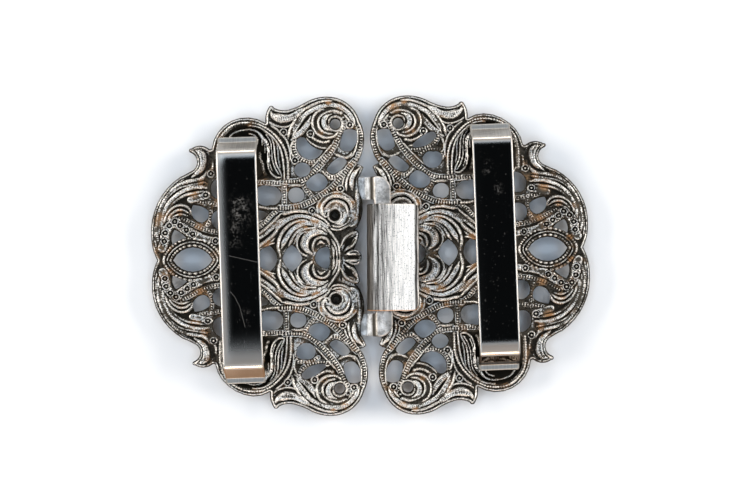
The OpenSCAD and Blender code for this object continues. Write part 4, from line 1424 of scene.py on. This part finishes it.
@dataclass
class Hook(Part):
    """Sheet hook: a leaf on the right plate's back, turned over into a free tongue.

    The table of painted light gives the distance from the bend and how bright the sheet is
    painted there: a dark bend, grey streaks, a bright tongue, and a dark line and a paler rim
    at its end.
    """

    bend_x: float = -0.8
    middle_y: float = -0.4
    width: float = 20.5
    length: float = 9.95
    leaf_len: float = 7.6
    leaf_z: float = 3.65
    bend_r: float = 1.6
    thick: float = 0.7
    corner_r: float = 1.15
    sag: float = 0.95
    turn: float = -2.0
    # Painted light and shade along the sheet, by distance from the bend.
    rub_and_light: tuple[Point, ...] = (
        (0.0, 0.0), (1.15, 0.03), (1.40, 0.18), (1.95, 0.20), (2.2, 0.16), (2.4, 0.40),
        (2.6, 0.66), (2.8, 0.55), (2.92, 0.16), (3.1, 0.36), (3.7, 0.64), (4.6, 0.68),
        (5.6, 0.95), (9.0, 1.0), (9.12, 0.5), (9.22, 0.0), (9.5, 0.0), (9.58, 0.35), (9.9, 0.35))

    def path(self) -> Path:
        """The middle of the sheet: along the leaf, round the bend and along the tongue.

        The tongue sags by the square of the distance from the bend.

        Returns:
            The path.
        """
        r = self.bend_r - self.thick / 2
        low = self.leaf_z + self.thick / 2
        bend = circle((self.bend_r, low + r), r, np.radians(np.linspace(270, 90, 40)))
        leaf_x = even_lines(self.bend_r + 0.1, self.leaf_len, 0.1)[::-1]
        leaf = np.stack([leaf_x, np.full(len(leaf_x), low)], 1)
        tongue_x = even_lines(self.bend_r + 0.1, self.length, 0.1)
        sag = self.sag * np.clip(tongue_x / self.length, 0, None) ** 2
        tongue = np.stack([tongue_x, low + 2 * r - sag], 1)
        return Path(np.vstack([leaf, bend, tongue]))

    def build(self) -> list[bpy.types.Object]:
        """Cut the sheet with round corners at the tongue's end and bend it along its path.

        Returns:
            The piece.
        """
        path = self.path()
        length = float(path.run[-1])
        half = self.width / 2
        sheet = Sheet.cut(edged_lines(0, length, 0.16), edged_lines(-half, half, 0.25),
                          Region(rounded_box(0, length, -half, half, self.corner_r)))
        across = sheet.points[:, 1]
        middle, *skins = bent_sides(path, sheet, self.thick, 0.28)
        faces = []
        for skin in skins[::-1]:
            x, y = turned(skin[:, 0], across, self.turn)
            faces.append(place(Half.RIGHT, x + self.bend_x, y + self.middle_y, skin[:, 1]))
        reach = middle[:, 0]
        # A painted glint at the top of the bend, over the table's painted light and shade.
        glint_at, glint_w, glint_half, glint_mid = 1.6, 0.20, 7.2, 0.8
        glint = np.exp(-((reach - glint_at) / glint_w) ** 2)
        glint = glint * smoothstep((glint_half - np.abs(across - glint_mid)) / 3)
        rub_and_light = np.maximum(np.interp(reach, *zip(*self.rub_and_light)), glint)
        edge = np.clip(sheet.outer / 0.8 + (across > -half + 1), 0, 1)
        piece = closed_piece("hook_sheet", sheet, *faces, True,
                             {"edge": edge, "rub_and_light": np.clip(rub_and_light, 0, 1)})
        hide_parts("hook")
        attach(piece, "root")
        self.pieces.append(piece)
        return self.pieces


@dataclass
class Bench:
    """Small helper that adds and joins the nodes of one tree."""

    tree: bpy.types.NodeTree

    def feed(self, node: Node, values: dict[str | int, object]) -> Node:
        """Set or join the inputs of a node.

        Args:
            node: The node.
            values: Sockets by name or number, with a value or a socket to join.
        Returns:
            The same node.
        """
        for key, value in values.items():
            if isinstance(value, bpy.types.NodeSocket):
                self.tree.links.new(value, node.inputs[key])
            else:
                node.inputs[key].default_value = value
        return node

    def add(self, kind: str, values: dict[str | int, object] | None = None,
            **settings: object) -> Node:
        """Add a node.

        Args:
            kind: The node's type.
            values: Sockets by name or number, with a value or a socket to join.
            **settings: Properties of the node.
        Returns:
            The node.
        """
        node = self.tree.nodes.new(kind)
        for key, value in settings.items():
            setattr(node, key, value)
        return self.feed(node, values or {})

    def math(self, how: str, a: Number, b: Number = 0.0, clamp: bool = False) -> Socket:
        """One step of arithmetic on two values."""
        return self.add("ShaderNodeMath", {0: a, 1: b}, operation=how, use_clamp=clamp).outputs[0]

    def plus(self, a: Number, b: Number) -> Socket:
        """The sum of two values."""
        return self.math("ADD", a, b)

    def less(self, a: Number, b: Number) -> Socket:
        """The first value less the second."""
        return self.math("SUBTRACT", a, b)

    def times(self, a: Number, b: Number) -> Socket:
        """The product of two values."""
        return self.math("MULTIPLY", a, b)

    def most(self, a: Number, b: Number) -> Socket:
        """The larger of two values."""
        return self.math("MAXIMUM", a, b)

    def swing(self, value: Number, rest: float, gain: float) -> Socket:
        """How far a value is from its rest, times a gain."""
        return self.times(self.less(value, rest), gain)

    def ramp(self, value: Socket, low: float, high: float) -> Socket:
        """0 at low, 1 at high, with an eased line between."""
        return self.add("ShaderNodeMapRange", {0: value, 1: low, 2: high},
                        interpolation_type="SMOOTHSTEP").outputs[0]

    def mix(self, share: Number, a: Socket | Colour, b: Socket | Colour) -> Socket:
        """A colour between a and b."""
        return self.add("ShaderNodeMix", {0: share, 6: a, 7: b}, data_type="RGBA").outputs[2]

    def noise(self, where: Socket, scale: Number, detail: float = 3.0,
              rough: float = 0.55) -> Socket:
        """Even noise of a scale in features a metre."""
        return self.add("ShaderNodeTexNoise", {"Vector": where, "Scale": scale, "Detail": detail,
                                               "Roughness": rough}).outputs["Fac"]

    def attribute(self, name: str) -> Socket:
        """A number kept on the mesh's points."""
        return self.add("ShaderNodeAttribute", attribute_name=name).outputs["Fac"]

    def place(self, turn: float = 0.0, stretch: tuple[float, float, float] = (1, 1, 1)) -> Socket:
        """Object coordinates, turned about Z and stretched."""
        where = self.add("ShaderNodeTexCoord").outputs["Object"]
        return self.add("ShaderNodeMapping", {"Vector": where, "Rotation": (0, 0, turn),
                                              "Scale": stretch}).outputs[0]

    def group(self, tree: bpy.types.NodeTree, values: dict[str, object]) -> Node:
        """A node group with some of its inputs set or joined."""
        return self.add("ShaderNodeGroup", values, node_tree=tree)

    def bump(self, height: Socket, strength: float, distance: float) -> Socket:
        """The normal of a skin with small heights."""
        return self.add("ShaderNodeBump", {"Height": height, "Strength": strength,
                                           "Distance": distance}).outputs[0]


def group_tree(name: str, inputs: dict[str, float],
               fill: Callable[[Bench, Node], dict[str, Socket]]) -> bpy.types.NodeTree:
    """A shader node group that takes a place and some numbers, built once.

    Args:
        name: The group's name.
        inputs: The value of each number that it takes, by name.
        fill: Function that adds the group's nodes after its input node, and gives the socket
            of each output by name.
    Returns:
        The group.
    """
    found = bpy.data.node_groups.get(name)
    if found is not None:
        return found
    tree = bpy.data.node_groups.new(name, "ShaderNodeTree")
    tree.interface.new_socket("Place", in_out="INPUT", socket_type="NodeSocketVector")
    for label, value in inputs.items():
        socket = tree.interface.new_socket(label, in_out="INPUT", socket_type="NodeSocketFloat")
        socket.default_value = value
    bench = Bench(tree)
    outputs = fill(bench, bench.add("NodeGroupInput"))
    for label in outputs:
        tree.interface.new_socket(label, in_out="OUTPUT", socket_type="NodeSocketFloat")
    bench.feed(bench.add("NodeGroupOutput"), outputs)
    return tree


def grain_nodes(bench: Bench, inside: Node) -> dict[str, Socket]:
    """A height and a speckle from two scales of noise.

    Args:
        bench: The bench of the group's tree.
        inside: The group's input node.
    Returns:
        The outputs by name.
    """
    where, scale = inside.outputs["Place"], inside.outputs["Scale"]
    fine = bench.noise(where, scale, 4.0, 0.65)
    slow = bench.noise(where, bench.times(scale, 0.22), 2.0, 0.5)
    return {"Height": bench.plus(bench.times(fine, 0.7), bench.times(slow, 0.3)),
            "Speckle": bench.ramp(fine, 0.42, 0.66)}


def wear_nodes(bench: Bench, inside: Node) -> dict[str, Socket]:
    """Long thin scratches one way, and lone specks.

    Args:
        bench: The bench of the group's tree.
        inside: The group's input node.
    Returns:
        The outputs by name.
    """
    where = inside.outputs["Place"]
    stretch = bench.add("ShaderNodeCombineXYZ", {0: inside.outputs["Along X"],
                                                 1: inside.outputs["Along Y"], 2: 1.0})
    lined = bench.add("ShaderNodeVectorMath", {0: where, 1: stretch.outputs[0]},
                      operation="MULTIPLY").outputs[0]
    specks = bench.noise(where, 1900.0, 2.0, 0.5)
    return {"Lines": bench.noise(lined, 1.0, 5.0, 0.7), "Specks": bench.ramp(specks, 0.68, 0.76)}


def grain_group() -> bpy.types.NodeTree:
    """The group for fine pitted grain."""
    return group_tree("metal grain", {"Scale": 2500.0}, grain_nodes)


def wear_group() -> bpy.types.NodeTree:
    """The group for rubbing marks."""
    return group_tree("rubbing marks", {"Along X": 100.0, "Along Y": 4000.0}, wear_nodes)


def new_material(name: str) -> tuple[bpy.types.Material, Bench, Node]:
    """A material with an empty tree, its bench and its shader.

    Args:
        name: The material's name.
    Returns:
        The material, the bench and the shader node.
    """
    material = bpy.data.materials.new(name)
    material.use_nodes = True
    tree = material.node_tree
    tree.nodes.clear()
    bench = Bench(tree)
    shader = bench.add("ShaderNodeBsdfPrincipled")
    bench.add("ShaderNodeOutputMaterial", {0: shader.outputs[0]})
    return material, bench, shader


@dataclass(frozen=True)
class Finish:
    """A metal's finish, whose material is built once."""

    name: ClassVar[str] = "plain"

    def fill(self, bench: Bench, shader: Node) -> None:
        """Join the finish's nodes to its shader."""

    def material(self) -> bpy.types.Material:
        """Build the material, or find it if it was built before.

        Returns:
            The material.
        """
        found = bpy.data.materials.get(self.name)
        if found is None:
            found, bench, shader = new_material(self.name)
            self.fill(bench, shader)
        return found


@dataclass(frozen=True)
class AgedSilver(Finish):
    """Silver-plated casting, rubbed bright on its ridges and dark in its hollows."""

    name: ClassVar[str] = "aged silver"
    hatch_turn: float = 2 * math.pi / 0.38
    line_turn: float = 2 * math.pi / 0.34
    grain: float = 2600.0
    bright: Colour = (0.83, 0.792, 0.745, 1)
    flecked: Colour = (0.20, 0.182, 0.158, 1)
    dull: Colour = (0.070, 0.061, 0.049, 1)
    patina: Colour = (0.016, 0.0125, 0.008, 1)
    copper: Colour = (0.44, 0.25, 0.12, 1)

    def fill(self, bench: Bench, shader: Node) -> None:
        """Join the nodes that read the mesh's marks.

        Ridge, the worn brightness with its painted shade round the dome, hatching and noise add up
        to how far a point is worn bright. Depth darkens it, and so does a level below the ground,
        which is patina in the hollows and painted shade in the dome hollow under the bar and on
        the eyes' floors. The hatching is the sine of the length along a stroke plus that of the
        distance from its middle.

        Args:
            bench: The bench of the material's tree.
            shader: Its shader.
        """
        where = bench.place()
        grain = bench.group(grain_group(), {"Place": where, "Scale": self.grain})
        height = grain.outputs["Height"]
        jitter = bench.swing(height, 0.5, 2.3)
        # How bright the casting is worn, with the painted shade round the dome in it.
        rub_and_light = bench.swing(bench.attribute("rub_and_shade"), 0.45, 0.29)
        wander = bench.times(bench.noise(where, 900.0, 1.0), 9.0)
        turn = bench.plus(bench.times(bench.attribute("run"), self.hatch_turn), wander)
        lined = bench.plus(bench.times(bench.attribute("side"), self.line_turn),
                           bench.times(wander, 0.3))
        cuts = bench.plus(bench.math("SINE", turn), bench.math("SINE", lined))
        hatch = bench.times(cuts, bench.attribute("hatched"))
        patch = bench.less(bench.noise(where, 330.0, 2.0), 0.5)
        worn = bench.plus(bench.plus(bench.attribute("ridge"), rub_and_light), jitter)
        worn = bench.plus(bench.plus(worn, bench.times(hatch, 0.13)), patch)
        bright = bench.ramp(worn, 0.42, 0.70)
        dark = bench.less(bench.plus(bench.attribute("depth"), jitter), bench.times(bright, 0.3))
        # Below the sunk height it turns dark: patina in the hollows, and painted shade in the dome
        # hollow and eye floors.
        sunk = bench.less(1.0, bench.attribute("level"))
        dark = bench.most(bench.ramp(dark, 0.32, 0.70), sunk)
        clouds = bench.ramp(bench.noise(where, 260.0, 3.0), 0.52, 0.70)
        stain = bench.most(bench.attribute("copper"), bench.times(clouds, 0.55))
        middle = bench.less(1.0, bench.ramp(worn, 0.62, 0.92))
        copper = bench.times(bench.times(stain, middle), 0.85)
        flecks = bench.ramp(bench.noise(where, 4600.0, 2.0, 0.6), 0.36, 0.56)
        tone = bench.mix(bright, self.dull, bench.mix(flecks, self.flecked, self.bright))
        tone = bench.mix(copper, tone, self.copper)
        rough = bench.less(0.62, bench.times(bright, 0.30))
        skin = bench.plus(height, bench.times(hatch, 0.14))
        bench.feed(shader, {
            "Base Color": bench.mix(dark, tone, self.patina),
            "Metallic": bench.less(1.0, bench.times(dark, 0.8)),
            "Specular IOR Level": 0.12,
            "Roughness": bench.plus(rough, bench.times(grain.outputs["Speckle"], 0.10)),
            "Normal": bench.bump(skin, 0.85, 0.00014),
        })


@dataclass(frozen=True)
class PolishedStrip(Finish):
    """Polished strip with faint scratches and smudges, and satin feet."""

    name: ClassVar[str] = "polished strip"
    colour: Colour = (0.86, 0.81, 0.75, 1)
    scuffed: Colour = (0.62, 0.60, 0.57, 1)
    satin_low: Colour = (0.32, 0.305, 0.285, 1)
    satin_high: Colour = (0.44, 0.42, 0.395, 1)
    hazed: Colour = (0.26, 0.19, 0.14, 1)
    edged: Colour = (0.46, 0.43, 0.40, 1)
    # Painted shade for the low riser of a bar without satin there.
    shaded: Colour = (0.012, 0.008, 0.006, 1)
    # Warm tint painted on the low riser as a reflection.
    copper: Colour = (0.34, 0.19, 0.09, 1)
    roughness: float = 0.06
    foot_roughness: float = 0.46
    # Long scratches, in millimetres: start x, y and end x, y of each straight part.
    cuts: tuple[Row, ...] = (
        (-26.8, 1.0, -21.5, -0.4), (-26.8, -5.8, -26.0, -6.8), (-26.0, -6.8, -25.1, -8.7),
        (-25.1, -8.7, -24.2, -12.7))

    def scratches(self, bench: Bench) -> Socket:
        """1 on the long scratches, with soft ends and sides.

        Args:
            bench: The bench of the finish's tree.
        Returns:
            The share.
        """
        where = bench.add("ShaderNodeSeparateXYZ", {0: bench.place()})
        total = 0.0
        for x0, y0, x1, y1 in self.cuts:
            length = math.hypot(x1 - x0, y1 - y0)
            ax, ay = (x1 - x0) / length, (y1 - y0) / length
            dx = bench.less(where.outputs["X"], x0 * MM)
            dy = bench.less(where.outputs["Y"], y0 * MM)
            along = bench.plus(bench.times(dx, ax), bench.times(dy, ay))
            aside = bench.less(bench.times(dx, ay), bench.times(dy, ax))
            off = bench.math("ABSOLUTE", bench.less(along, length / 2 * MM))
            inside = bench.math("LESS_THAN", off, length / 2 * MM)
            far = bench.ramp(bench.math("ABSOLUTE", aside), 0.00003, 0.00009)
            total = bench.most(bench.times(inside, bench.less(1.0, far)), total)
        return total

    def fill(self, bench: Bench, shader: Node) -> None:
        """Join the nodes: haze, edges, feet, the riser's painted warm reflection and shade in the
        colour, dust and scratches in the roughness and metalness.

        Args:
            bench: The bench of the material's tree.
            shader: Its shader.
        """
        wear = bench.group(wear_group(), {"Place": bench.place(0.04), "Along X": 5200.0,
                                          "Along Y": 160.0})
        lines = wear.outputs["Lines"]
        foot, haze = bench.attribute("foot"), bench.attribute("haze")
        edge = bench.attribute("edge")
        satin = bench.mix(bench.ramp(lines, 0.30, 0.70), self.satin_low, self.satin_high)
        tone = bench.mix(bench.times(lines, 0.25), self.colour, self.scuffed)
        tone = bench.mix(bench.times(haze, 0.85), tone, self.hazed)
        tone = bench.mix(bench.times(edge, 0.8), tone, self.edged)
        tone = bench.mix(foot, tone, satin)
        # Painted warm reflection on the low riser, then painted shade on it.
        tone = bench.mix(bench.times(bench.attribute("warm"), 0.85), tone, self.copper)
        tone = bench.mix(bench.attribute("shade"), tone, self.shaded)
        where = bench.place()
        patches = bench.times(bench.ramp(bench.noise(where, 420.0, 4.0, 0.65), 0.42, 0.66),
                              bench.attribute("smudge"))
        grit = bench.ramp(bench.noise(where, 2600.0, 2.0, 0.6), 0.44, 0.66)
        dust = bench.most(bench.times(bench.times(patches, grit), 0.17),
                          bench.times(self.scratches(bench), 0.07))
        dust = bench.most(dust, bench.times(wear.outputs["Specks"], 0.04))
        scratch = bench.times(bench.ramp(lines, 0.62, 0.70), 0.12)
        rough = bench.plus(bench.plus(self.roughness, dust), scratch)
        rough = bench.plus(rough, bench.times(bench.most(haze, edge), 0.36))
        rough = bench.plus(rough, bench.times(foot, self.foot_roughness - self.roughness))
        bench.feed(shader, {"Base Color": tone, "Metallic": bench.less(1.0, dust),
                            "Roughness": rough, "Normal": bench.bump(lines, 0.06, 0.00002)})


@dataclass(frozen=True)
class SatinStrip(Finish):
    """Satin strip with small pits."""

    name: ClassVar[str] = "satin strip"
    colour: Colour = (0.86, 0.87, 0.88, 1)
    # Painted highlight colour for the tab and rising stretch; dark colour for stains and painted
    # shade.
    slope_highlight: Colour = (1.0, 0.95, 0.91, 1)
    stain_and_shade: Colour = (0.09, 0.08, 0.065, 1)
    speck: Colour = (0.10, 0.08, 0.06, 1)
    grain: float = 1500.0
    roughness: float = 0.42

    def fill(self, bench: Bench, shader: Node) -> None:
        """Join the nodes: noise stains, painted shade where the painted light is low, and a painted
        pale highlight on the tab and rising stretch.

        Args:
            bench: The bench of the material's tree.
            shader: Its shader.
        """
        where = bench.place()
        grain = bench.group(grain_group(), {"Place": where, "Scale": self.grain})
        wear = bench.group(wear_group(), {"Place": where})
        slope_light = bench.attribute("slope_light")
        stains = bench.ramp(bench.noise(where, 620.0, 4.0, 0.68), 0.42, 0.62)
        # Painted light from the table, darkened by stains; painted highlight on the rising stretch.
        clean = bench.times(bench.attribute("rub_and_light"), bench.less(1.0, bench.times(stains, 0.60)))
        tone = bench.mix(clean, self.stain_and_shade, bench.mix(slope_light, self.slope_highlight, self.colour))
        rough = bench.plus(self.roughness, bench.times(grain.outputs["Speckle"], 0.15))
        bench.feed(shader, {
            "Base Color": bench.mix(bench.times(wear.outputs["Specks"], 0.8), tone, self.speck),
            # Less metal on the painted highlight, so that it reads pale.
            "Metallic": bench.less(0.9, bench.times(slope_light, 0.8)),
            "Roughness": rough,
            "Normal": bench.bump(grain.outputs["Height"], 0.25, 0.00004),
        })


@dataclass(frozen=True)
class BrushedSheet(Finish):
    """Sheet brushed across the clasp, rubbed to copper along its edge."""

    name: ClassVar[str] = "brushed sheet"
    colour: Colour = (1.0, 0.935, 0.87, 1)
    # Near black for the brush grooves and for the painted shade of the bend and end line.
    groove: Colour = (0.014, 0.011, 0.008, 1)
    copper: Colour = (0.50, 0.24, 0.09, 1)
    roughness: float = 0.38
    turn: float = 0.03

    def fill(self, bench: Bench, shader: Node) -> None:
        """Join the nodes: painted light and shade from the table, and long and short brush lines,
        stronger where that painted light is middling.

        Args:
            bench: The bench of the material's tree.
            shader: Its shader.
        """
        where = bench.place(self.turn)
        wear = bench.group(wear_group(), {"Place": where, "Along X": 4600.0, "Along Y": 45.0})
        long = wear.outputs["Lines"]
        # Painted light and shade from the mesh, which also sets how strong the brush lines are.
        rub_and_light = bench.attribute("rub_and_light")
        short = bench.noise(bench.place(self.turn, (6400.0, 210.0, 1.0)), 1.0, 2.0, 0.6)
        pits = bench.ramp(bench.noise(where, 3600.0, 2.0, 0.6), 0.33, 0.43)
        brushed = bench.plus(bench.swing(long, 0.5, 2.5), bench.swing(short, 0.5, 3.0))
        amount = bench.times(bench.plus(rub_and_light, 0.03), bench.less(1.3, rub_and_light))
        brushed = bench.times(brushed, bench.times(amount, 1.9))
        lines = bench.math("ADD", rub_and_light, brushed, clamp=True)
        lines = bench.times(lines, bench.plus(bench.times(pits, 0.52), 0.48))
        edge = bench.less(1.0, bench.ramp(bench.attribute("edge"), 0.05, 0.35))
        # Dark where the painted light is low, bright where it is high.
        tone = bench.mix(lines, self.groove, self.colour)
        bench.feed(shader, {
            "Base Color": bench.mix(bench.times(edge, 0.75), tone, self.copper),
            "Metallic": bench.plus(bench.times(bench.ramp(rub_and_light, 0.0, 0.25), 0.52), 0.3),
            "Specular IOR Level": 0.25,
            "Roughness": bench.plus(self.roughness, bench.times(long, 0.22)),
            "Normal": bench.bump(long, 0.35, 0.00004),
        })


@dataclass
class Studio:
    """Pale floor, soft light from all sides but straight above, and the camera."""

    lens: float = 85.0
    sensor: float = 36.0
    frame_px: tuple[int, int] = (750, 500)
    mm_per_px: float = 0.1932
    turn: float = -2.15
    aim: tuple[float, float] = (1.005, 1.056)
    level: float = 3.0
    low_sky: float = 0.10
    high_sky: float = 3.1
    ring_from: float = 0.75
    ring_to: float = 0.85
    hole_from: float = 0.86
    hole_to: float = 0.945
    hole_glow: float = 0.004
    low_tint: Colour = (1.0, 0.95, 0.88, 1)
    high_tint: Colour = (0.68, 0.83, 1.0, 1)
    paper: Colour = (0.75, 0.75, 0.76, 1)
    paper_low: Colour = (0.71, 0.71, 0.73, 1)

    def floor(self) -> bpy.types.Object:
        """A wide pale floor at the height of the domes' lowest points.

        Returns:
            The floor.
        """
        half, z = 3.0, -0.00002
        mesh = bpy.data.meshes.new("floor")
        corners = [(-half, -half, z), (half, -half, z), (half, half, z), (-half, half, z)]
        mesh.from_pydata(corners, [], [(0, 1, 2, 3)])
        piece = linked_object("floor", mesh)
        material, bench, shader = new_material("pale floor")
        paper = bench.times(bench.noise(bench.place(), 900.0, 3.0), 0.04)
        bench.feed(shader, {"Base Color": bench.mix(paper, self.paper, self.paper_low),
                            "Roughness": 0.85, "Specular IOR Level": 0.2})
        mesh.materials.append(material)
        return piece

    def camera(self) -> bpy.types.Object:
        """Camera straight above, so far off that the frame is as wide as in the photograph.

        Returns:
            The camera.
        """
        data = bpy.data.cameras.new("camera")
        data.lens, data.sensor_width = self.lens, self.sensor
        data.clip_start, data.clip_end = 0.01, 20.0
        wide = self.frame_px[0] * self.mm_per_px
        camera = linked_object("camera", data)
        camera.location = (self.aim[0] * MM, self.aim[1] * MM,
                           (self.level + wide * self.lens / self.sensor) * MM)
        camera.rotation_euler = (0, 0, math.radians(self.turn))
        bpy.context.scene.camera = camera
        return camera

    def lamps(self) -> None:
        """Broad panels round the clasp, tilted down at it, and a small warm card."""
        table = (
            # name, azimuth, elevation, distance, width, height, power, colour
            ("left panel", 168.0, 25.0, 0.9, 0.7, 0.30, 8.0, (1.0, 0.955, 0.89)),
            ("right panel", 12.0, 25.0, 0.9, 0.7, 0.30, 8.0, (1.0, 0.955, 0.89)),
            ("far panel", 92.0, 25.0, 0.9, 0.7, 0.30, 2.7, (1.0, 0.955, 0.89)),
            ("near panel", 268.0, 25.0, 0.9, 0.7, 0.30, 3.6, (1.0, 0.93, 0.83)),
            ("warm card", 270.0, 14.0, 0.5, 0.5, 0.12, 0.30, (1.0, 0.50, 0.22)),
        )
        for name, azimuth, elevation, distance, width, height, power, colour in table:
            data = bpy.data.lights.new(name, "AREA")
            data.shape, data.size, data.size_y = "RECTANGLE", width, height
            data.energy, data.color = power, colour
            lamp = linked_object(name, data)
            a, e = math.radians(azimuth), math.radians(elevation)
            lamp.location = (distance * math.cos(a) * math.cos(e),
                             distance * math.sin(a) * math.cos(e), distance * math.sin(e))
            lamp.rotation_euler = (math.pi / 2 - e, 0, a + math.pi / 2)

    def sky(self) -> None:
        """World light: dim low down, a bright ring overhead and a dark hole at the top."""
        world = bpy.data.worlds.new("studio")
        world.use_nodes = True
        bpy.context.scene.world = world
        tree = world.node_tree
        tree.nodes.clear()
        bench = Bench(tree)
        where = bench.add("ShaderNodeTexCoord").outputs["Generated"]
        up = bench.add("ShaderNodeSeparateXYZ", {0: where}).outputs["Z"]
        hole = bench.less(1.0, bench.ramp(up, self.hole_from, self.hole_to))
        rise = bench.times(bench.ramp(up, self.ring_from, self.ring_to), self.high_sky - self.low_sky)
        tent = bench.plus(rise, self.low_sky)
        strength = bench.plus(bench.times(hole, tent), self.hole_glow)
        tint = bench.mix(bench.ramp(up, 0.55, 0.85), self.low_tint, self.high_tint)
        light = bench.add("ShaderNodeBackground", {"Color": tint, "Strength": strength})
        bench.add("ShaderNodeOutputWorld", {0: light.outputs[0]})

    def build(self) -> None:
        """Set up the floor, the light and the camera."""
        self.floor()
        self.camera()
        self.lamps()
        self.sky()
        bpy.context.scene.view_settings.view_transform = "Standard"


def main() -> None:
    """Build the sub-assemblies in order, dress them and set up the studio."""
    logging.basicConfig(level=logging.INFO, format="%(name)s: %(message)s")
    left_bar, right_bar = (24.7, -0.2), (23.88, 0.7)
    silver, polish = AgedSilver(), PolishedStrip()
    # This bar has no satin on its low riser, so that riser is painted into shade.
    worn_bar = StrapBar(
        Half.RIGHT, *right_bar, bow_len=2.2, bow_drop=0.27, low_bow_len=3.4, low_bow_drop=0.44,
        crown_drop=0.02, haze=0.12, low_haze=(3.0, 1.5), high_haze=(1.6, 1.2), low_satin=0.0,
        turn=0.05, smudges=((-0.9, 14.6, 1.7), (0.9, 11.0, 1.2), (-0.6, -6.0, 1.2)))
    dressed = ((Casting(Half.LEFT, *left_bar), silver),
               (Casting(Half.RIGHT, *right_bar, half_darkening=0.33), silver),
               (StrapBar(Half.LEFT, *left_bar), polish),
               (worn_bar, polish),
               (CatchLoop(), SatinStrip()),
               (Hook(), BrushedSheet()))
    for part, finish in dressed:
        for piece in part.build():
            LOG.info("%s: %d faces", piece.name, len(piece.data.polygons))
        part.dress(finish)
    Studio().build()


if __name__ == "__main__":
    main()
